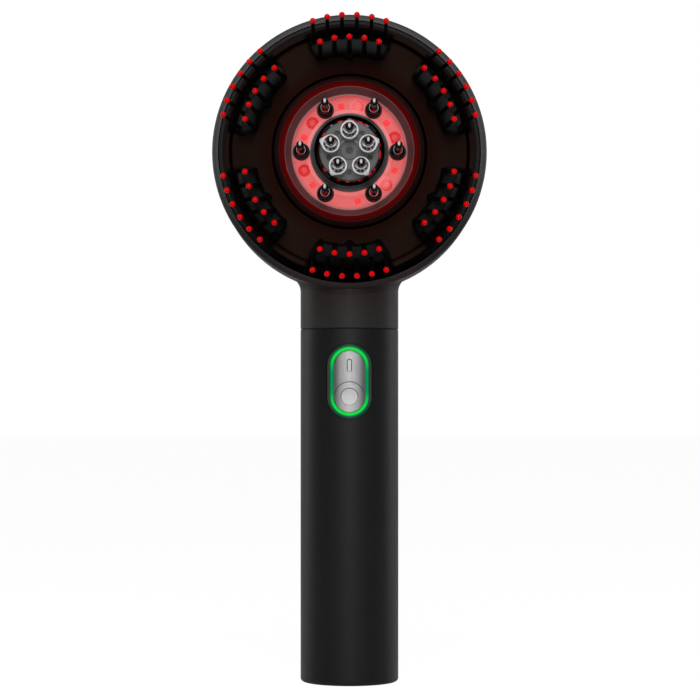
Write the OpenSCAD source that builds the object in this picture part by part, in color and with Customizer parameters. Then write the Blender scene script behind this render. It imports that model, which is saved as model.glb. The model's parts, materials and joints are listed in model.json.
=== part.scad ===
// Electric scalp massager: a round massage head with silicone comb pads, a ring of red light and
// sprung ball-tipped pins, on a cylindrical rechargeable handle with a lit slide switch.
// Origin at the centre of the handle's flat base, +Z up along the handle, the working face towards -Y.

/* [Handle and neck] */
// Diameter of the round handle
handle_d = 32; // [32:0.5:38]
// Length of the handle, from the base to the seam below the neck
handle_l = 115; // [115:1:150]
// Wall of the handle tube
handle_wall = 1.9; // [1.6:0.1:2.2]
// Rounding of the handle's bottom edge
base_round = 1.2; // [0.5:0.1:2.2]
// Bare length of the neck between the handle and the head
neck_l = 12.4; // [10:0.2:30]
// Fillet between the neck and the head, at the sides
neck_fillet = 5; // [3:0.5:7]
// Length of the neck's spigot inside the handle
spigot_l = 4.5; // [4:0.1:4.8]

/* [Head] */
// Outer diameter of the head
head_d = 88.2; // [88:0.2:110]
// Depth of the head's front edge before the handle's axis
head_front = 17; // [17:0.5:22]
// Depth of the head's flat back behind the handle's axis
head_back = 16.5; // [16.5:0.5:22]
// Extra bulge of the back at its centre
back_dome = 1.5; // [0.5:0.1:4]
// Rounding of the head's back edge
back_round = 10; // [6:0.5:14]
// Wall of the head's housing
head_wall = 2; // [1.6:0.1:2.4]
// Rounding of the head's front edge
edge_round = 1.8; // [0.8:0.1:1.9]

/* [Front cover] */
// Gap of the seam round the front cover
seam_gap = 0.3; // [0.1:0.05:0.5]
// Thickness of the front cover
cover_t = 2; // [1.6:0.1:2.4]
// Width of the raised lip at the cover's edge
lip_w = 4; // [3:0.1:5]
// Height of the raised lip
lip_h = 1.8; // [1:0.1:3]

/* [Comb pads] */
// Number of pads round the head
pad_count = 6; // [6:1:6]
// Width of a pad from its inner to its outer edge
pad_w = 7.4; // [7:0.1:8.2]
// Height of a pad above the cover
pad_h = 7.4; // [6:0.1:9]
// Angle that half a pad covers, seen from the middle of the head
pad_half_angle = 21; // [20.5:0.5:24]
// Height of the teeth's red tips before the cover
tip_h = 18; // [14:0.1:22]
// Radius of a red ball tip
tip_r = 0.92; // [0.8:0.01:1.1]
// Radius of a tooth at its tip
tooth_r = 0.6; // [0.45:0.01:0.65]
// Radius of a tooth at its root
root_r = 0.7; // [0.65:0.05:0.9]
// Outward lean of the inner row of teeth, from root to tip
inner_lean = 3.6; // [2:0.1:5]
// Outward lean of the outer row of teeth, from root to tip
outer_lean = 5.6; // [3:0.1:6]
// Teeth in the inner row of one pad
inner_teeth = 5; // [3:1:5]
// Teeth in the outer row of one pad
outer_teeth = 6; // [4:1:6]
// Distance from the middle of the head to the point that a pad's rows of teeth curve round
row_centre = 6.5; // [4:0.1:8]
// Angle from tooth to tooth in the inner row, seen from that point
inner_step = 9.8; // [7:0.1:10]
// Angle from tooth to tooth in the outer row, seen from that point
outer_step = 7.8; // [6:0.1:8]

/* [Light] */
// Width of the lit lens, from the collar out to its edge
lens_w = 6.15; // [6.05:0.05:7.25]
// Thickness of the lens
lens_t = 1.8; // [1.2:0.1:2]
// Depth of the lens below the front edge of the head
lens_drop = 2; // [1.5:0.1:2.4]
// Height of the light ring above the front edge of the head
bezel_h = 2; // [1:0.1:3]
// Width of the glowing ring
glow_w = 1.1; // [0.8:0.1:1.6]
// Width of the dark bezel outside the glowing ring
bezel_w = 2.15; // [1.8:0.05:3]
// Width of the groove between the bezel and the cover
groove_w = 0.7; // [0.4:0.1:1]
// Distance of the light board behind the lens
board_drop = 4.3; // [4.3:0.1:4.8]

/* [Pins] */
// Number of pins round the light ring
outer_pins = 6; // [6:1:6]
// Number of pins on the applicator
inner_pins = 5; // [5:1:5]
// Radius of a pin's stem
stem_r = 0.72; // [0.6:0.01:0.8]
// Radius of a pin's ball tip
ball_r = 1.22; // [1:0.01:1.4]
// Height of the outer pins' tips before the front edge of the head
outer_pin_h = 19.5; // [15:0.1:22]
// Height of the inner pins' tips before the front edge of the head
inner_pin_h = 14.1; // [11:0.1:16]
// Travel of a pin when it is pressed
pin_travel = 1.2; // [0.5:0.1:1.3]
// Radial clearance of a pin in its guide
pin_clear = 0.05; // [0.02:0.01:0.1]
// Distance from the outside of the applicator's cup in to the middle of the inner pins
inner_pin_inset = 2.75; // [2.6:0.05:2.8]

/* [Applicator] */
// Radius of the applicator's cup
cup_r = 9; // [8.8:0.1:9.3]
// Gap between the cup and the bay that it plugs into
bay_gap = 1.9; // [1.7:0.05:2.2]
// Width of the face plate's rim outside the cup
plate_rim = 0.6; // [0.4:0.1:0.9]
// Height of the collar round the bay above the front edge of the head
collar_h = 1.9; // [1:0.1:3]
// Distance that the applicator is drawn out to take it off
applicator_travel = 20; // [18:1:30]

/* [Switch] */
// Distance from the seam down to the middle of the switch
switch_drop = 17.1; // [17:0.1:19]
// Width of the silver track that the knob slides on
track_w = 10; // [9:0.1:10.4]
// Length of the silver track
track_l = 19.8; // [18:0.1:20.4]
// Width of the lit ring round the track
ring_w = 1.1; // [0.8:0.1:1.2]
// Width of the dark bezel round the lit ring
switch_bezel_w = 1.1; // [0.8:0.1:1.2]
// Depth of the knob's finger dish
dish_depth = 0.45; // [0.2:0.05:0.6]

/* [Power] */
// Diameter of the rechargeable cell
cell_d = 18.3; // [16:0.1:18.4]
// Room between the charging port and the rechargeable cell above it
cell_gap = 9.59; // [9:0.01:12]
// Diameter of the vibration motor's can
motor_d = 12; // [10:0.5:12]
// Length of the vibration motor's can
motor_l = 20; // [16:1:21]
// Width of the charging socket's opening
port_w = 9.3; // [9.2:0.05:9.6]
// Height of the charging socket's opening
port_h = 3.62; // [3.5:0.02:3.8]

/* [Hidden] */
$fn = 72;
tiny = 0.01;
fit = 0.1;                                  // slip fit between parts that are put together once
play = 0.2;                                 // free room round sliding and loose parts

handle_r = handle_d / 2;
handle_bore = handle_r - handle_wall;
head_r = head_d / 2;
cavity_r = head_r - head_wall;
head_z = handle_l + neck_l + head_r;        // height of the head's axis
neck_bore = handle_bore - 0.1;
spigot_r = handle_bore - 0.15;
spigot_wall = 1.8;
handle_floor = 2.4;
edge_break = 0.25;

cover_r = cavity_r - seam_gap;
lip_out_r = cover_r - 0.3;
lip_in_r = lip_out_r - lip_w;
cover_back = head_front - cover_t;
skirt_t = 1.6;
skirt_l = 5;

// Rings of the light, from the collar outwards
bay_r = cup_r + bay_gap;
bay_wall = 1.5;
bay_out_r = bay_r + bay_wall;
collar_top_r = bay_r + 0.43;
collar_base_r = bay_out_r + 0.16;
lens_front = head_front - lens_drop;
lens_back = lens_front - lens_t;
lens_hole_r = collar_base_r + 0.19;
lens_r = lens_hole_r + lens_w;
reflector_r = lens_r + 1.85;
ring_front = head_front + bezel_h;
glow_in_r = reflector_r + fit;
glow_out_r = glow_in_r + glow_w;
bezel_in_r = glow_out_r + fit;
bezel_out_r = bezel_in_r + bezel_w;
cover_hole_r = bezel_out_r + groove_w;
bezel_flange_r = cover_hole_r + 1.6;
bezel_flange_t = 1.4;
board_t = 1.4;
board_front = lens_back - board_drop;
board_back = board_front - board_t;
board_r = glow_out_r;
bay_flange_t = 1.5;
bay_flange_back = board_back - bay_flange_t;
shoulder_r = lens_hole_r + 1.1;

// Pins
guide_r = stem_r + pin_clear;
sleeve_r = 2.76;
sleeve_l = 6.9;
sleeve_spigot_r = 1.9;
pin_ring_r = collar_base_r + sleeve_r + 0.12;
ferrule_out_r = 1.52;
ferrule_in_r = 1.24;
ferrule_t = 0.4;
stop_r = 1.3;
stop_t = 0.8;
tail_r = 0.45;
pin_stop = lens_back - fit;                 // front of an outer pin's stop collar
spring_r = 0.85;
spring_wire = 0.14;

// Applicator
plate_r = cup_r + plate_rim;
inner_ring_r = cup_r - inner_pin_inset;     // circle that the inner pins stand on
plate_front = ring_front + 0.2;
plate_t = 1.6;
plate_back = plate_front - plate_t;
cup_wall = 1;
cup_floor = 1.2;
cup_l = 17;
bay_floor_t = 1.5;
bay_back = plate_back - cup_l - 1.4;
nozzle_r = 2.85;
nozzle_wall = 0.45;
nozzle_h = 3.8;
hub_r = guide_r + 0.5;
hub_below = 0.9;
nozzle_stop = plate_back - hub_below - fit;
seat_front = nozzle_stop - stop_t - 3.2;
seat_t = 1;
seal_f = plate_back - 11;

// Pads
pad_out_r = lip_in_r - 0.1;
pad_in_r = pad_out_r - pad_w;
pad_top = head_front + pad_h;
tip_f = head_front + tip_h;
inner_root = [pad_in_r + 0.4, pad_top - 0.9];
outer_root = [pad_out_r - 2.1, pad_top - 1.4];
pad_bevel = 1.2;                            // bevel along the top's inner edge
pad_slope_w = 2.6;                          // width of the sloping outer wall
pad_slope_h = 3.4;                          // height of its steep part
pad_corner_in = 1.4;
pad_corner_out = 2.2;
nose_r = 1.8;
stud_r = 1.6;
stud_ring_r = (pad_in_r + pad_out_r) / 2;
stud_angle = 12;

// Switch
switch_z = handle_l - switch_drop;
port_z = 12.6;                              // height of the charging port
cell_f = -3.6;                              // cell's axis, behind the handle's
knob_r = track_w / 2 - 0.05;
knob_travel = track_l - track_w;
knob_y = -knob_travel / 2;                  // knob's place from the middle of the switch
ring_in_w = track_w + 0.2;
ring_out_w = ring_in_w + 2 * ring_w;
bezel_hole_w = ring_out_w + 0.1;
bezel_w_out = bezel_hole_w + 2 * switch_bezel_w;
switch_hole_w = bezel_w_out + 0.1;
track_flat = track_l - track_w;             // straight part shared by every pill outline
plate_top_r = handle_r - 0.9;
track_under = plate_top_r - 2.7;
leg_t = 0.22;                               // thin steel legs in narrow slots at the track's edges
leg_half = 1;
leg_out = knob_r - 0.1;
bridge_t = 1;
bridge_top = track_under - 0.1;
pcb_f = cell_f + cell_d / 2 + 0.45;
pcb_t = 1.6;
pcb_front = pcb_f + pcb_t;
pcb_half = 10.5;
pcb_z0 = port_z + 3.4;
pcb_top = handle_l - 4.8;
switch_body_front = bridge_top - bridge_t - 0.6;
lever_half = 1.5;

// Power
cell_z0 = port_z + port_h / 2 + cell_gap;
cell_l = switch_z - 8.9 - cell_z0;          // the cell fills the handle up to the switch
nub_l = 1;
chassis_r = handle_bore - play;
chassis_z0 = 8;
chassis_top = handle_l - 6.5;
socket_w = port_w - 0.36;
socket_h = port_h - 0.36;
socket_l = 7.3;
charge_t = 1.07;
charge_half = handle_bore / 2;
charge_back = handle_bore * 0.85;
port_face = handle_r - 1;
motor_gap = 3;                              // room between the seam and the motor
motor_z0 = handle_l + motor_gap;
motor_f = -2;
motor_r = motor_d / 2;
shaft_r = 1;
weight_gap = 2.5;                           // bare shaft between the motor and its weight
weight_z0 = motor_z0 + motor_l + weight_gap;
weight_l = 5;
weight_r = 5.5;

// ---- Helpers ----

// Points of an arc from angle a0 to a1
function arc(cx, cy, r, a0, a1, n = 8) =
    [for (i = [0:n]) let (a = a0 + (a1 - a0) * i / n) [cx + r * cos(a), cy + r * sin(a)]];

// Places a shape in the head: its x to the right, y up and z forwards
module in_head() {
    translate([0, 0, head_z])
        rotate([90, 0, 0])
            children();
}

// Places a shape in the handle's front, at height z, with the same axes
module in_front(z) {
    translate([0, 0, z])
        rotate([90, 0, 0])
            children();
}

// A body of revolution about the head's axis from (radius, forward) points
module turned(points) {
    in_head()
        rotate_extrude($fn = 144)
            polygon(points);
}

// Puts a child at radius r and angle a round the head's axis
module at(r, a) {
    rotate([0, 0, a])
        translate([r, 0, 0])
            children();
}

// A pill-shaped plate: width w, straight part flat, from z0 to z1
module pill(w, flat, z0, z1) {
    translate([0, 0, z0])
        linear_extrude(z1 - z0)
            union() {
                square([w, flat], center = true);
                translate([0, flat / 2]) circle(d = w);
                translate([0, -flat / 2]) circle(d = w);
            }
}

// A cylinder along the handle, in the axes of in_front()
module handle_round(r, l = 60) {
    rotate([90, 0, 0])
        cylinder(r = r, h = l, center = true, $fn = 144);
}

// A straight tapered rod from point a to point b
module rod(a, b, ra, rb) {
    d = b - a;
    l = norm(d);
    translate(a)
        rotate([0, acos(d[2] / l), atan2(d[1], d[0])])
            cylinder(r1 = ra, r2 = rb, h = l, $fn = 24);
}

// A coil spring of round wire, standing on z = 0
module coil(r, wire, height, turns) {
    steps = 10;
    sides = 6;
    rings = turns * steps;
    points = [for (i = [0:rings]) let (a = 360 * i / steps, z = wire + (height - 2 * wire) * i / rings)
        for (j = [0:sides - 1]) let (b = 360 * j / sides)
            [(r + wire * cos(b)) * cos(a), (r + wire * cos(b)) * sin(a), z + wire * sin(b)]];
    walls = [for (i = [0:rings - 1]) for (j = [0:sides - 1]) let (k = (j + 1) % sides)
        [i * sides + j, (i + 1) * sides + j, (i + 1) * sides + k, i * sides + k]];
    ends = [[for (j = [0:sides - 1]) j], [for (j = [sides - 1:-1:0]) rings * sides + j]];
    polyhedron(points, concat(walls, ends), convexity = 6);
}

// ---- Housing ----

// Outer radius of the head's drum at forward depth f
function drum_r(f) = let (k = -head_back + back_round)
    f >= k ? head_r : head_r - back_round + sqrt(max(0, pow(back_round, 2) - pow(f - k, 2)));

// Outline of the drum: r is its radius, inset the distance inside the outer surface
function drum_back(inset) = let (flat_r = head_r - back_round)
    concat([[0, -head_back - back_dome + inset], [flat_r * 0.5, -head_back - back_dome * 0.75 + inset]],
        arc(flat_r, back_round - head_back, back_round - inset, -90, 0, 8));

module drum_outer() {
    turned(concat(drum_back(0),
        arc(head_r - edge_round, head_front - edge_round, edge_round, 0, 90, 5),
        [[0, head_front]]));
}

module drum_cavity() {
    turned(concat(drum_back(head_wall), [[cavity_r, head_front + 1], [0, head_front + 1]]));
}

// Neck with its concave flare into the drum, flattened at the front and the back of the flare
module neck_outer() {
    cx = handle_r + neck_fillet;
    cz = head_z - sqrt(pow(head_r - 0.2 + neck_fillet, 2) - pow(cx, 2));
    flare = arc(cx, cz, neck_fillet, 180, atan2(head_z - cz, -cx), 8);
    top = head_z - head_r + back_round + 0.5;
    intersection() {
        rotate_extrude($fn = 144)
            polygon(concat([[0, handle_l], [handle_r - edge_break, handle_l],
                [handle_r, handle_l + edge_break]],
                flare, [[flare[8][0], top], [0, top]]));
        translate([-head_r, 0.02 - handle_r, handle_l - 1])
            cube([2 * head_r, 2 * handle_r - 0.04, top]);
    }
}

module rear_housing() {
    groove_z = handle_l - 2.4;
    color("#2a2727")
        difference() {
            union() {
                drum_outer();
                neck_outer();
                translate([0, 0, handle_l - spigot_l])
                    cylinder(r = spigot_r, h = spigot_l + 1);
            }
            drum_cavity();
            translate([0, 0, handle_l + 2])
                cylinder(r = neck_bore, h = neck_l + 5);
            translate([0, 0, handle_l - spigot_l - 1])
                cylinder(r = spigot_r - spigot_wall, h = spigot_l + 4);
            translate([0, 0, groove_z - 0.65])
                difference() {
                    cylinder(r = spigot_r + 1, h = 1.3);
                    cylinder(r = spigot_r - 1.1, h = 1.3);
                }
        }
}

module neck_seal() {
    color("#151515")
        translate([0, 0, handle_l - 2.4])
            rotate_extrude()
                translate([spigot_r - 0.48, 0])
                    circle(r = 0.6, $fn = 24);
}

module handle_shell() {
    color("#1c1c1e")
        difference() {
            rotate_extrude($fn = 144)
                polygon(concat([[0, 0]],
                    arc(handle_r - base_round, base_round, base_round, -90, 0, 8),
                    [[handle_r, handle_l - edge_break], [handle_r - edge_break, handle_l],
                    [handle_bore, handle_l], [handle_bore, handle_floor], [0, handle_floor]]));
            in_front(switch_z)
                pill(switch_hole_w, track_flat, handle_bore - 6, handle_r + 1);
            // charging port in the back of the handle, with a flat round its mouth
            translate([0, 0, port_z])
                rotate([90, 0, 180]) {
                    slot(port_w, port_h, handle_bore - 2, handle_r + 1);
                    slot(port_w + 3, port_h + 3, port_face, handle_r + 1);
                }
        }
}

// A slot with round ends lying along x: width w, height h, from z0 to z1
module slot(w, h, z0, z1) {
    rotate([0, 0, 90])
        pill(h, w - h, z0, z1);
}

// ---- Front of the head ----

module front_cover() {
    mid = (lip_in_r + lip_out_r) / 2;
    color("#2b1c1a")
        difference() {
            union() {
                turned(concat([[cover_hole_r, cover_back], [cover_hole_r, head_front]],
                    [for (i = [0:12]) let (a = 180 - 180 * i / 12)
                        [mid + lip_w / 2 * cos(a), head_front + lip_h * sin(a)]],
                    arc(cover_r - 0.3, head_front - 0.3, 0.3, 90, 0, 3),
                    [[cover_r, head_front - skirt_l], [cover_r - skirt_t, head_front - skirt_l],
                    [cover_r - skirt_t, cover_back]]));
                in_head()
                    for (a = [0, 120, 240])
                        at(bezel_flange_r + 4.2, a)
                            translate([0, 0, bay_flange_back + bay_flange_t + fit])
                                cylinder(r = 3, h = cover_back - bay_flange_back - bay_flange_t, $fn = 36);
            }
            in_head()
                for (a = [0, 120, 240])
                    at(bezel_flange_r + 4.2, a)
                        translate([0, 0, bay_flange_back])
                            cylinder(r = 1, h = 7.5, $fn = 24);
            in_head()
                for (i = [1:pad_count])
                    for (s = [-1, 1])
                        at(stud_ring_r, pad_angle(i) + s * stud_angle)
                            translate([0, 0, cover_back - 1])
                                cylinder(r = stud_r + 0.05, h = cover_t + 2, $fn = 24);
        }
}

module bezel_ring() {
    color("#231413")
        turned([[bezel_in_r, cover_back - 5], [bezel_in_r + 1.1, cover_back - 5],
            [bezel_in_r + 1.1, cover_back - bezel_flange_t], [bezel_flange_r, cover_back - bezel_flange_t],
            [bezel_flange_r, cover_back - 0.02], [cover_hole_r - 0.05, cover_back - 0.02],
            [cover_hole_r - 0.05, cover_back + 0.6], [bezel_out_r, cover_back + 0.6],
            [bezel_out_r, head_front - 0.1], [bezel_in_r + 0.6, ring_front], [bezel_in_r, ring_front]]);
}

module glow_ring() {
    color("#a00808")
        turned([[glow_in_r, board_front + 0.02], [glow_out_r, board_front + 0.02],
            [glow_out_r, ring_front - 0.15], [glow_out_r - 0.2, ring_front + 0.05],
            [glow_in_r + 0.2, ring_front + 0.05], [glow_in_r, ring_front - 0.15]]);
}

module reflector_cup() {
    color("#5a3636")
        turned([[lens_r + fit, board_front + 0.02], [reflector_r, board_front + 0.02],
            [reflector_r, ring_front], [reflector_r - 0.25, ring_front], [lens_r - 0.3, lens_front + 0.25],
            [lens_r - 0.3, lens_front + 0.02], [lens_r + fit, lens_front + 0.02]]);
}

module lens() {
    color("#e08080")
        difference() {
            turned([[lens_hole_r, lens_back], [lens_r, lens_back], [lens_r, lens_front],
                [lens_hole_r, lens_front]]);
            in_head()
                for (i = [1:outer_pins])
                    at(pin_ring_r, pin_angle(i))
                        translate([0, 0, lens_back - 1])
                            cylinder(r = sleeve_spigot_r + 0.05, h = lens_t + 2, $fn = 32);
        }
}

module led_board() {
    color("#b8b8b0")
        turned([[bay_out_r + 0.5, board_back], [board_r, board_back], [board_r, board_front],
            [bay_out_r + 0.5, board_front]]);
}

// Light sources on the board, between the pins: a square one in each gap and a round one in all but one
module leds() {
    led_ring_r = pin_ring_r + 0.1;
    color("#ff3030")
        in_head()
            for (i = [1:outer_pins]) {
                at(led_ring_r, pin_angle(i) + 40)
                    translate([-1.1, -1.1, board_front + 0.01])
                        cube([2.2, 2.2, 0.8]);
                if (i != 5)
                    at(led_ring_r, pin_angle(i) + 20)
                        translate([0, 0, board_front + 0.01])
                            cylinder(r = 1.6, h = 1, $fn = 32);
            }
}

// Collar, bay and mounting flange of the applicator, fixed to the cover's posts by its three ears
module nozzle_collar() {
    color("#454343")
        difference() {
            union() {
                turned([[0, bay_back - bay_floor_t], [bay_out_r, bay_back - bay_floor_t],
                    [bay_out_r, bay_flange_back], [board_r, bay_flange_back],
                    [board_r, board_back - 0.02], [bay_out_r, board_back - 0.02],
                    [bay_out_r, lens_back - 1.2],
                    [shoulder_r, lens_back - 1], [shoulder_r, lens_back - 0.02],
                    [collar_base_r, lens_back - 0.02], [collar_base_r, lens_front - 0.5],
                    [collar_top_r, head_front + collar_h], [bay_r, head_front + collar_h], [bay_r, bay_back],
                    [0, bay_back]]);
                in_head()
                    for (a = [0, 120, 240])
                        rotate([0, 0, a])
                            translate([board_r - 1.5, -3, bay_flange_back])
                                cube([bezel_flange_r + 4.2 - board_r + 1.5, 6, bay_flange_t]);
                in_head()
                    for (a = [0, 120, 240])
                        at(bezel_flange_r + 4.2, a)
                            translate([0, 0, bay_flange_back])
                                cylinder(r = 3, h = bay_flange_t, $fn = 36);
            }
            in_head()
                for (a = [0, 120, 240])
                    at(bezel_flange_r + 4.2, a)
                        translate([0, 0, bay_flange_back - 1])
                            cylinder(r = 1.25, h = bay_flange_t + 2, $fn = 24);
        }
}

// ---- Comb pads ----

function pad_angle(i) = 90 + 60 * (i - 1);

// Root and tip of each of the n teeth in a row of pad i, as points in the head's axes.
// The tips lie on an arc round the row centre, and all teeth lean outwards along the pad's middle line.
function tooth_row(i, n, step, root, lean) =
    let (middle = pad_angle(i), out = [cos(middle), sin(middle), 0], r = root[0] + lean - row_centre)
        [for (k = [0:n - 1])
            let (a = middle + step * (k - (n - 1) / 2),
                tip = row_centre * out + [r * cos(a), r * sin(a), tip_f])
                [tip - lean * out - [0, 0, tip_f - root[1]], tip]];
function teeth(i) = concat(
    tooth_row(i, inner_teeth, inner_step, inner_root, inner_lean),
    tooth_row(i, outer_teeth, outer_step, outer_root, outer_lean));

// Distance behind a ball's centre where its tooth ends
tip_seat = 0.45;

module comb_pad(i) {
    color("#121010")
        in_head() {
            difference() {
                rotate([0, 0, pad_angle(i) - pad_half_angle])
                    rotate_extrude(angle = 2 * pad_half_angle, $fn = 144)
                        polygon([[pad_in_r, head_front + 0.02], [pad_in_r + 0.1, pad_top - pad_bevel],
                            [pad_in_r + 0.5, pad_top - 0.5], [pad_in_r + pad_bevel, pad_top - 0.2],
                            [pad_out_r - pad_slope_w, pad_top],
                            [pad_out_r - pad_slope_w + 0.7, pad_top - 0.5],
                            [pad_out_r - 0.7, pad_top - pad_slope_h], [pad_out_r, head_front + 1.4],
                            [pad_out_r, head_front + 0.02]]);
                // bevelled inner and outer corners
                for (s = [-1, 1])
                    rotate([0, 0, pad_angle(i) + s * pad_half_angle]) {
                        translate([pad_in_r, 0, head_front - 1])
                            rotate([0, 0, 45])
                                cube([pad_corner_in, pad_corner_in, 3 * pad_h], center = true);
                        translate([pad_out_r, 0, head_front - 1])
                            rotate([0, 0, 45])
                                cube([pad_corner_out, pad_corner_out, 3 * pad_h], center = true);
                    }
            }
            // nose in the middle of the inner edge
            at(pad_in_r + 0.6, pad_angle(i))
                translate([0, 0, head_front + 0.02])
                    cylinder(r1 = nose_r, r2 = nose_r - 0.3, h = pad_h - pad_bevel, $fn = 32);
            for (t = teeth(i)) {
                d = (t[1] - t[0]) / norm(t[1] - t[0]);
                rod(t[0] - 1.2 * d, t[1] - tip_seat * d, root_r, tooth_r);
            }
            for (s = [-1, 1])
                at(stud_ring_r, pad_angle(i) + s * stud_angle) {
                    translate([0, 0, cover_back - 0.1])
                        cylinder(r = stud_r, h = cover_t + 0.6, $fn = 24);
                    translate([0, 0, cover_back - 1.2])
                        cylinder(r1 = stud_r - 0.4, r2 = stud_r + 0.7, h = 1.15, $fn = 24);
                }
        }
}

module comb_tips(i) {
    color("#e01020")
        in_head()
            for (t = teeth(i)) {
                d = (t[1] - t[0]) / norm(t[1] - t[0]);
                difference() {
                    translate(t[1]) sphere(r = tip_r, $fn = 32);
                    rod(t[1] - 2 * tip_r * d, t[1] - tip_seat * d, tip_r, tip_r);
                }
            }
}

// ---- Pins ----

function pin_angle(i) = 60 * (i - 1);
function nozzle_angle(i) = 90 + 72 * (i - 1);

// A pin with its ball at tip, a stop collar in front of stop and a tail down to tail_end
module pin(tip, stop, tail_end) {
    rotate_extrude($fn = 32)
        polygon([[0, tail_end], [tail_r, tail_end], [tail_r, stop - stop_t], [stop_r, stop - stop_t],
            [stop_r, stop], [stem_r, stop], [stem_r, tip - 2.6], [stem_r * 0.8, tip - 0.7], [0, tip - 0.7]]);
    translate([0, 0, tip])
        sphere(r = ball_r, $fn = 36);
}

module outer_pin(i) {
    color("#3c3c40")
        in_head()
            at(pin_ring_r, pin_angle(i))
                pin(head_front + outer_pin_h, pin_stop, board_front + pin_travel + 0.15);
}

// Stepped guide of one outer pin, in (radius, forward) points
function sleeve_profile() = let (top = lens_front + sleeve_l)
    [[guide_r, lens_back + 0.02], [sleeve_spigot_r, lens_back + 0.02], [sleeve_spigot_r, lens_front + 0.02],
    [sleeve_r, lens_front + 0.02], [sleeve_r, lens_front + 1.6], [sleeve_r - 0.25, lens_front + 2],
    [sleeve_r - 0.3, lens_front + 2.9], [sleeve_r - 0.65, lens_front + 3.3],
    [sleeve_r - 0.7, lens_front + 4.4],
    [ferrule_out_r + 0.15, top - 0.3], [ferrule_out_r, top], [ferrule_in_r, top], [ferrule_in_r, top - 3.5],
    [guide_r, top - 4]];

module pin_sleeves() {
    color("#1b1616")
        in_head()
            for (i = [1:outer_pins])
                at(pin_ring_r, pin_angle(i))
                    rotate_extrude($fn = 40)
                        polygon(sleeve_profile());
}

module pin_ferrules() {
    color("#c8c8c8")
        in_head()
            for (i = [1:outer_pins])
                at(pin_ring_r, pin_angle(i))
                    translate([0, 0, lens_front + sleeve_l + 0.02])
                        rotate_extrude($fn = 40)
                            polygon([[ferrule_in_r, 0], [ferrule_out_r, 0], [ferrule_out_r, ferrule_t * 0.6],
                                [ferrule_out_r - 0.1, ferrule_t], [ferrule_in_r, ferrule_t]]);
}

module pin_springs() {
    color("#b0b0b0")
        in_head()
            for (i = [1:outer_pins])
                at(pin_ring_r, pin_angle(i))
                    translate([0, 0, board_front + 0.02])
                        coil(spring_r, spring_wire, pin_stop - stop_t - board_front - 0.04, 4);
}

// ---- Applicator ----

module nozzle_plate() {
    color("#6a6a6a")
        difference() {
            turned([[0, plate_back], [plate_r, plate_back], [plate_r, plate_front - 0.4],
                [plate_r - 0.4, plate_front], [2.9, plate_front], [2.7, plate_front + 0.35],
                [1.4, plate_front + 0.35], [0.9, plate_front + 0.1], [0, plate_front]]);
            in_head()
                for (i = [1:inner_pins]) {
                    at(inner_ring_r, nozzle_angle(i))
                        translate([0, 0, plate_back - 1])
                            cylinder(r = hub_r + 0.05, h = plate_t + 2, $fn = 32);
                    // shallow dimple between two guides
                    at(inner_ring_r + 0.6, nozzle_angle(i) + 36)
                        translate([0, 0, plate_front - 0.6])
                            cylinder(r1 = 0.7, r2 = 1, h = 1, $fn = 32);
                }
        }
}

// Clear guides of the inner pins: a ring, a hub, four webs and a gusset to the plate's edge
module nozzle_sleeves() {
    base = plate_front + 0.02;
    gusset_l = plate_r - inner_ring_r - 0.2;
    color("#e8e8e8")
        in_head()
            for (i = [1:inner_pins])
                at(inner_ring_r, nozzle_angle(i))
                    difference() {
                        union() {
                            translate([0, 0, base])
                                cylinder(r = nozzle_r, h = nozzle_h, $fn = 48);
                            translate([0, 0, base])
                                linear_extrude(nozzle_h - 1.2)
                                    polygon([[0, -nozzle_r + 0.1], [gusset_l, -0.6], [gusset_l, 0.6],
                                        [0, nozzle_r - 0.1]]);
                            translate([0, 0, plate_back - hub_below])
                                cylinder(r = hub_r, h = hub_below + plate_t + 1, $fn = 32);
                        }
                        for (q = [0:3])
                            rotate([0, 0, 90 * q + 45])
                                translate([0, 0, base + 0.6])
                                    nozzle_window();
                        translate([0, 0, plate_back - 3])
                            cylinder(r = guide_r, h = 12, $fn = 32);
                    }
}

// One of the four openings between a guide's ring and its hub
module nozzle_window() {
    rotate([0, 0, -35])
        rotate_extrude(angle = 70, $fn = 48)
            translate([hub_r + 0.25, 0])
                square([nozzle_r - nozzle_wall - hub_r - 0.25, nozzle_h]);
}

// Cup under the face plate, centred in the bay by four lugs, with a seat for the pins' springs
module cartridge_cup() {
    floor_f = plate_back - cup_l;
    color("#8a8a8a")
        difference() {
            union() {
                in_head()
                    for (a = [45:90:315])
                        rotate([0, 0, a])
                            intersection() {
                                translate([cup_r - 0.5, -1.5, plate_back - 3.6])
                                    cube([3, 3, 3.4]);
                                cylinder(r = bay_r - 0.06, h = head_front + 5);
                            }
                turned([[0, floor_f], [cup_r - 0.5, floor_f], [cup_r, floor_f + 0.5], [cup_r, seal_f - 0.9],
                [cup_r - 0.5, seal_f - 0.9], [cup_r - 0.5, seal_f + 0.9], [cup_r, seal_f + 0.9],
                [cup_r, plate_back - 0.02], [cup_r - cup_wall, plate_back - 0.02],
                [cup_r - cup_wall, seat_front - 0.02], [0, seat_front - 0.02]]);
            }
            turned([[0, floor_f + cup_floor], [cup_r - cup_wall - 0.6, floor_f + cup_floor],
                [cup_r - cup_wall - 0.6, seat_front - seat_t], [0, seat_front - seat_t]]);
            in_head()
                for (i = [1:inner_pins]) {
                    at(inner_ring_r, nozzle_angle(i))
                        translate([0, 0, seat_front - seat_t - 0.5])
                            cylinder(r = tail_r + 0.12, h = seat_t + 1, $fn = 24);
                    at(inner_ring_r - 2.6, nozzle_angle(i) + 36)
                        translate([0, 0, seat_front - seat_t - 0.5])
                            cylinder(r = 1.1, h = seat_t + 1, $fn = 24);
                }
        }
}

module cartridge_seal() {
    color("#c03028")
        in_head()
            translate([0, 0, seal_f])
                rotate_extrude()
                    translate([(cup_r - 0.5 + bay_r) / 2, 0])
                        circle(r = (bay_r - cup_r + 0.5) / 2 - 0.06, $fn = 24);
}

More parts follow.
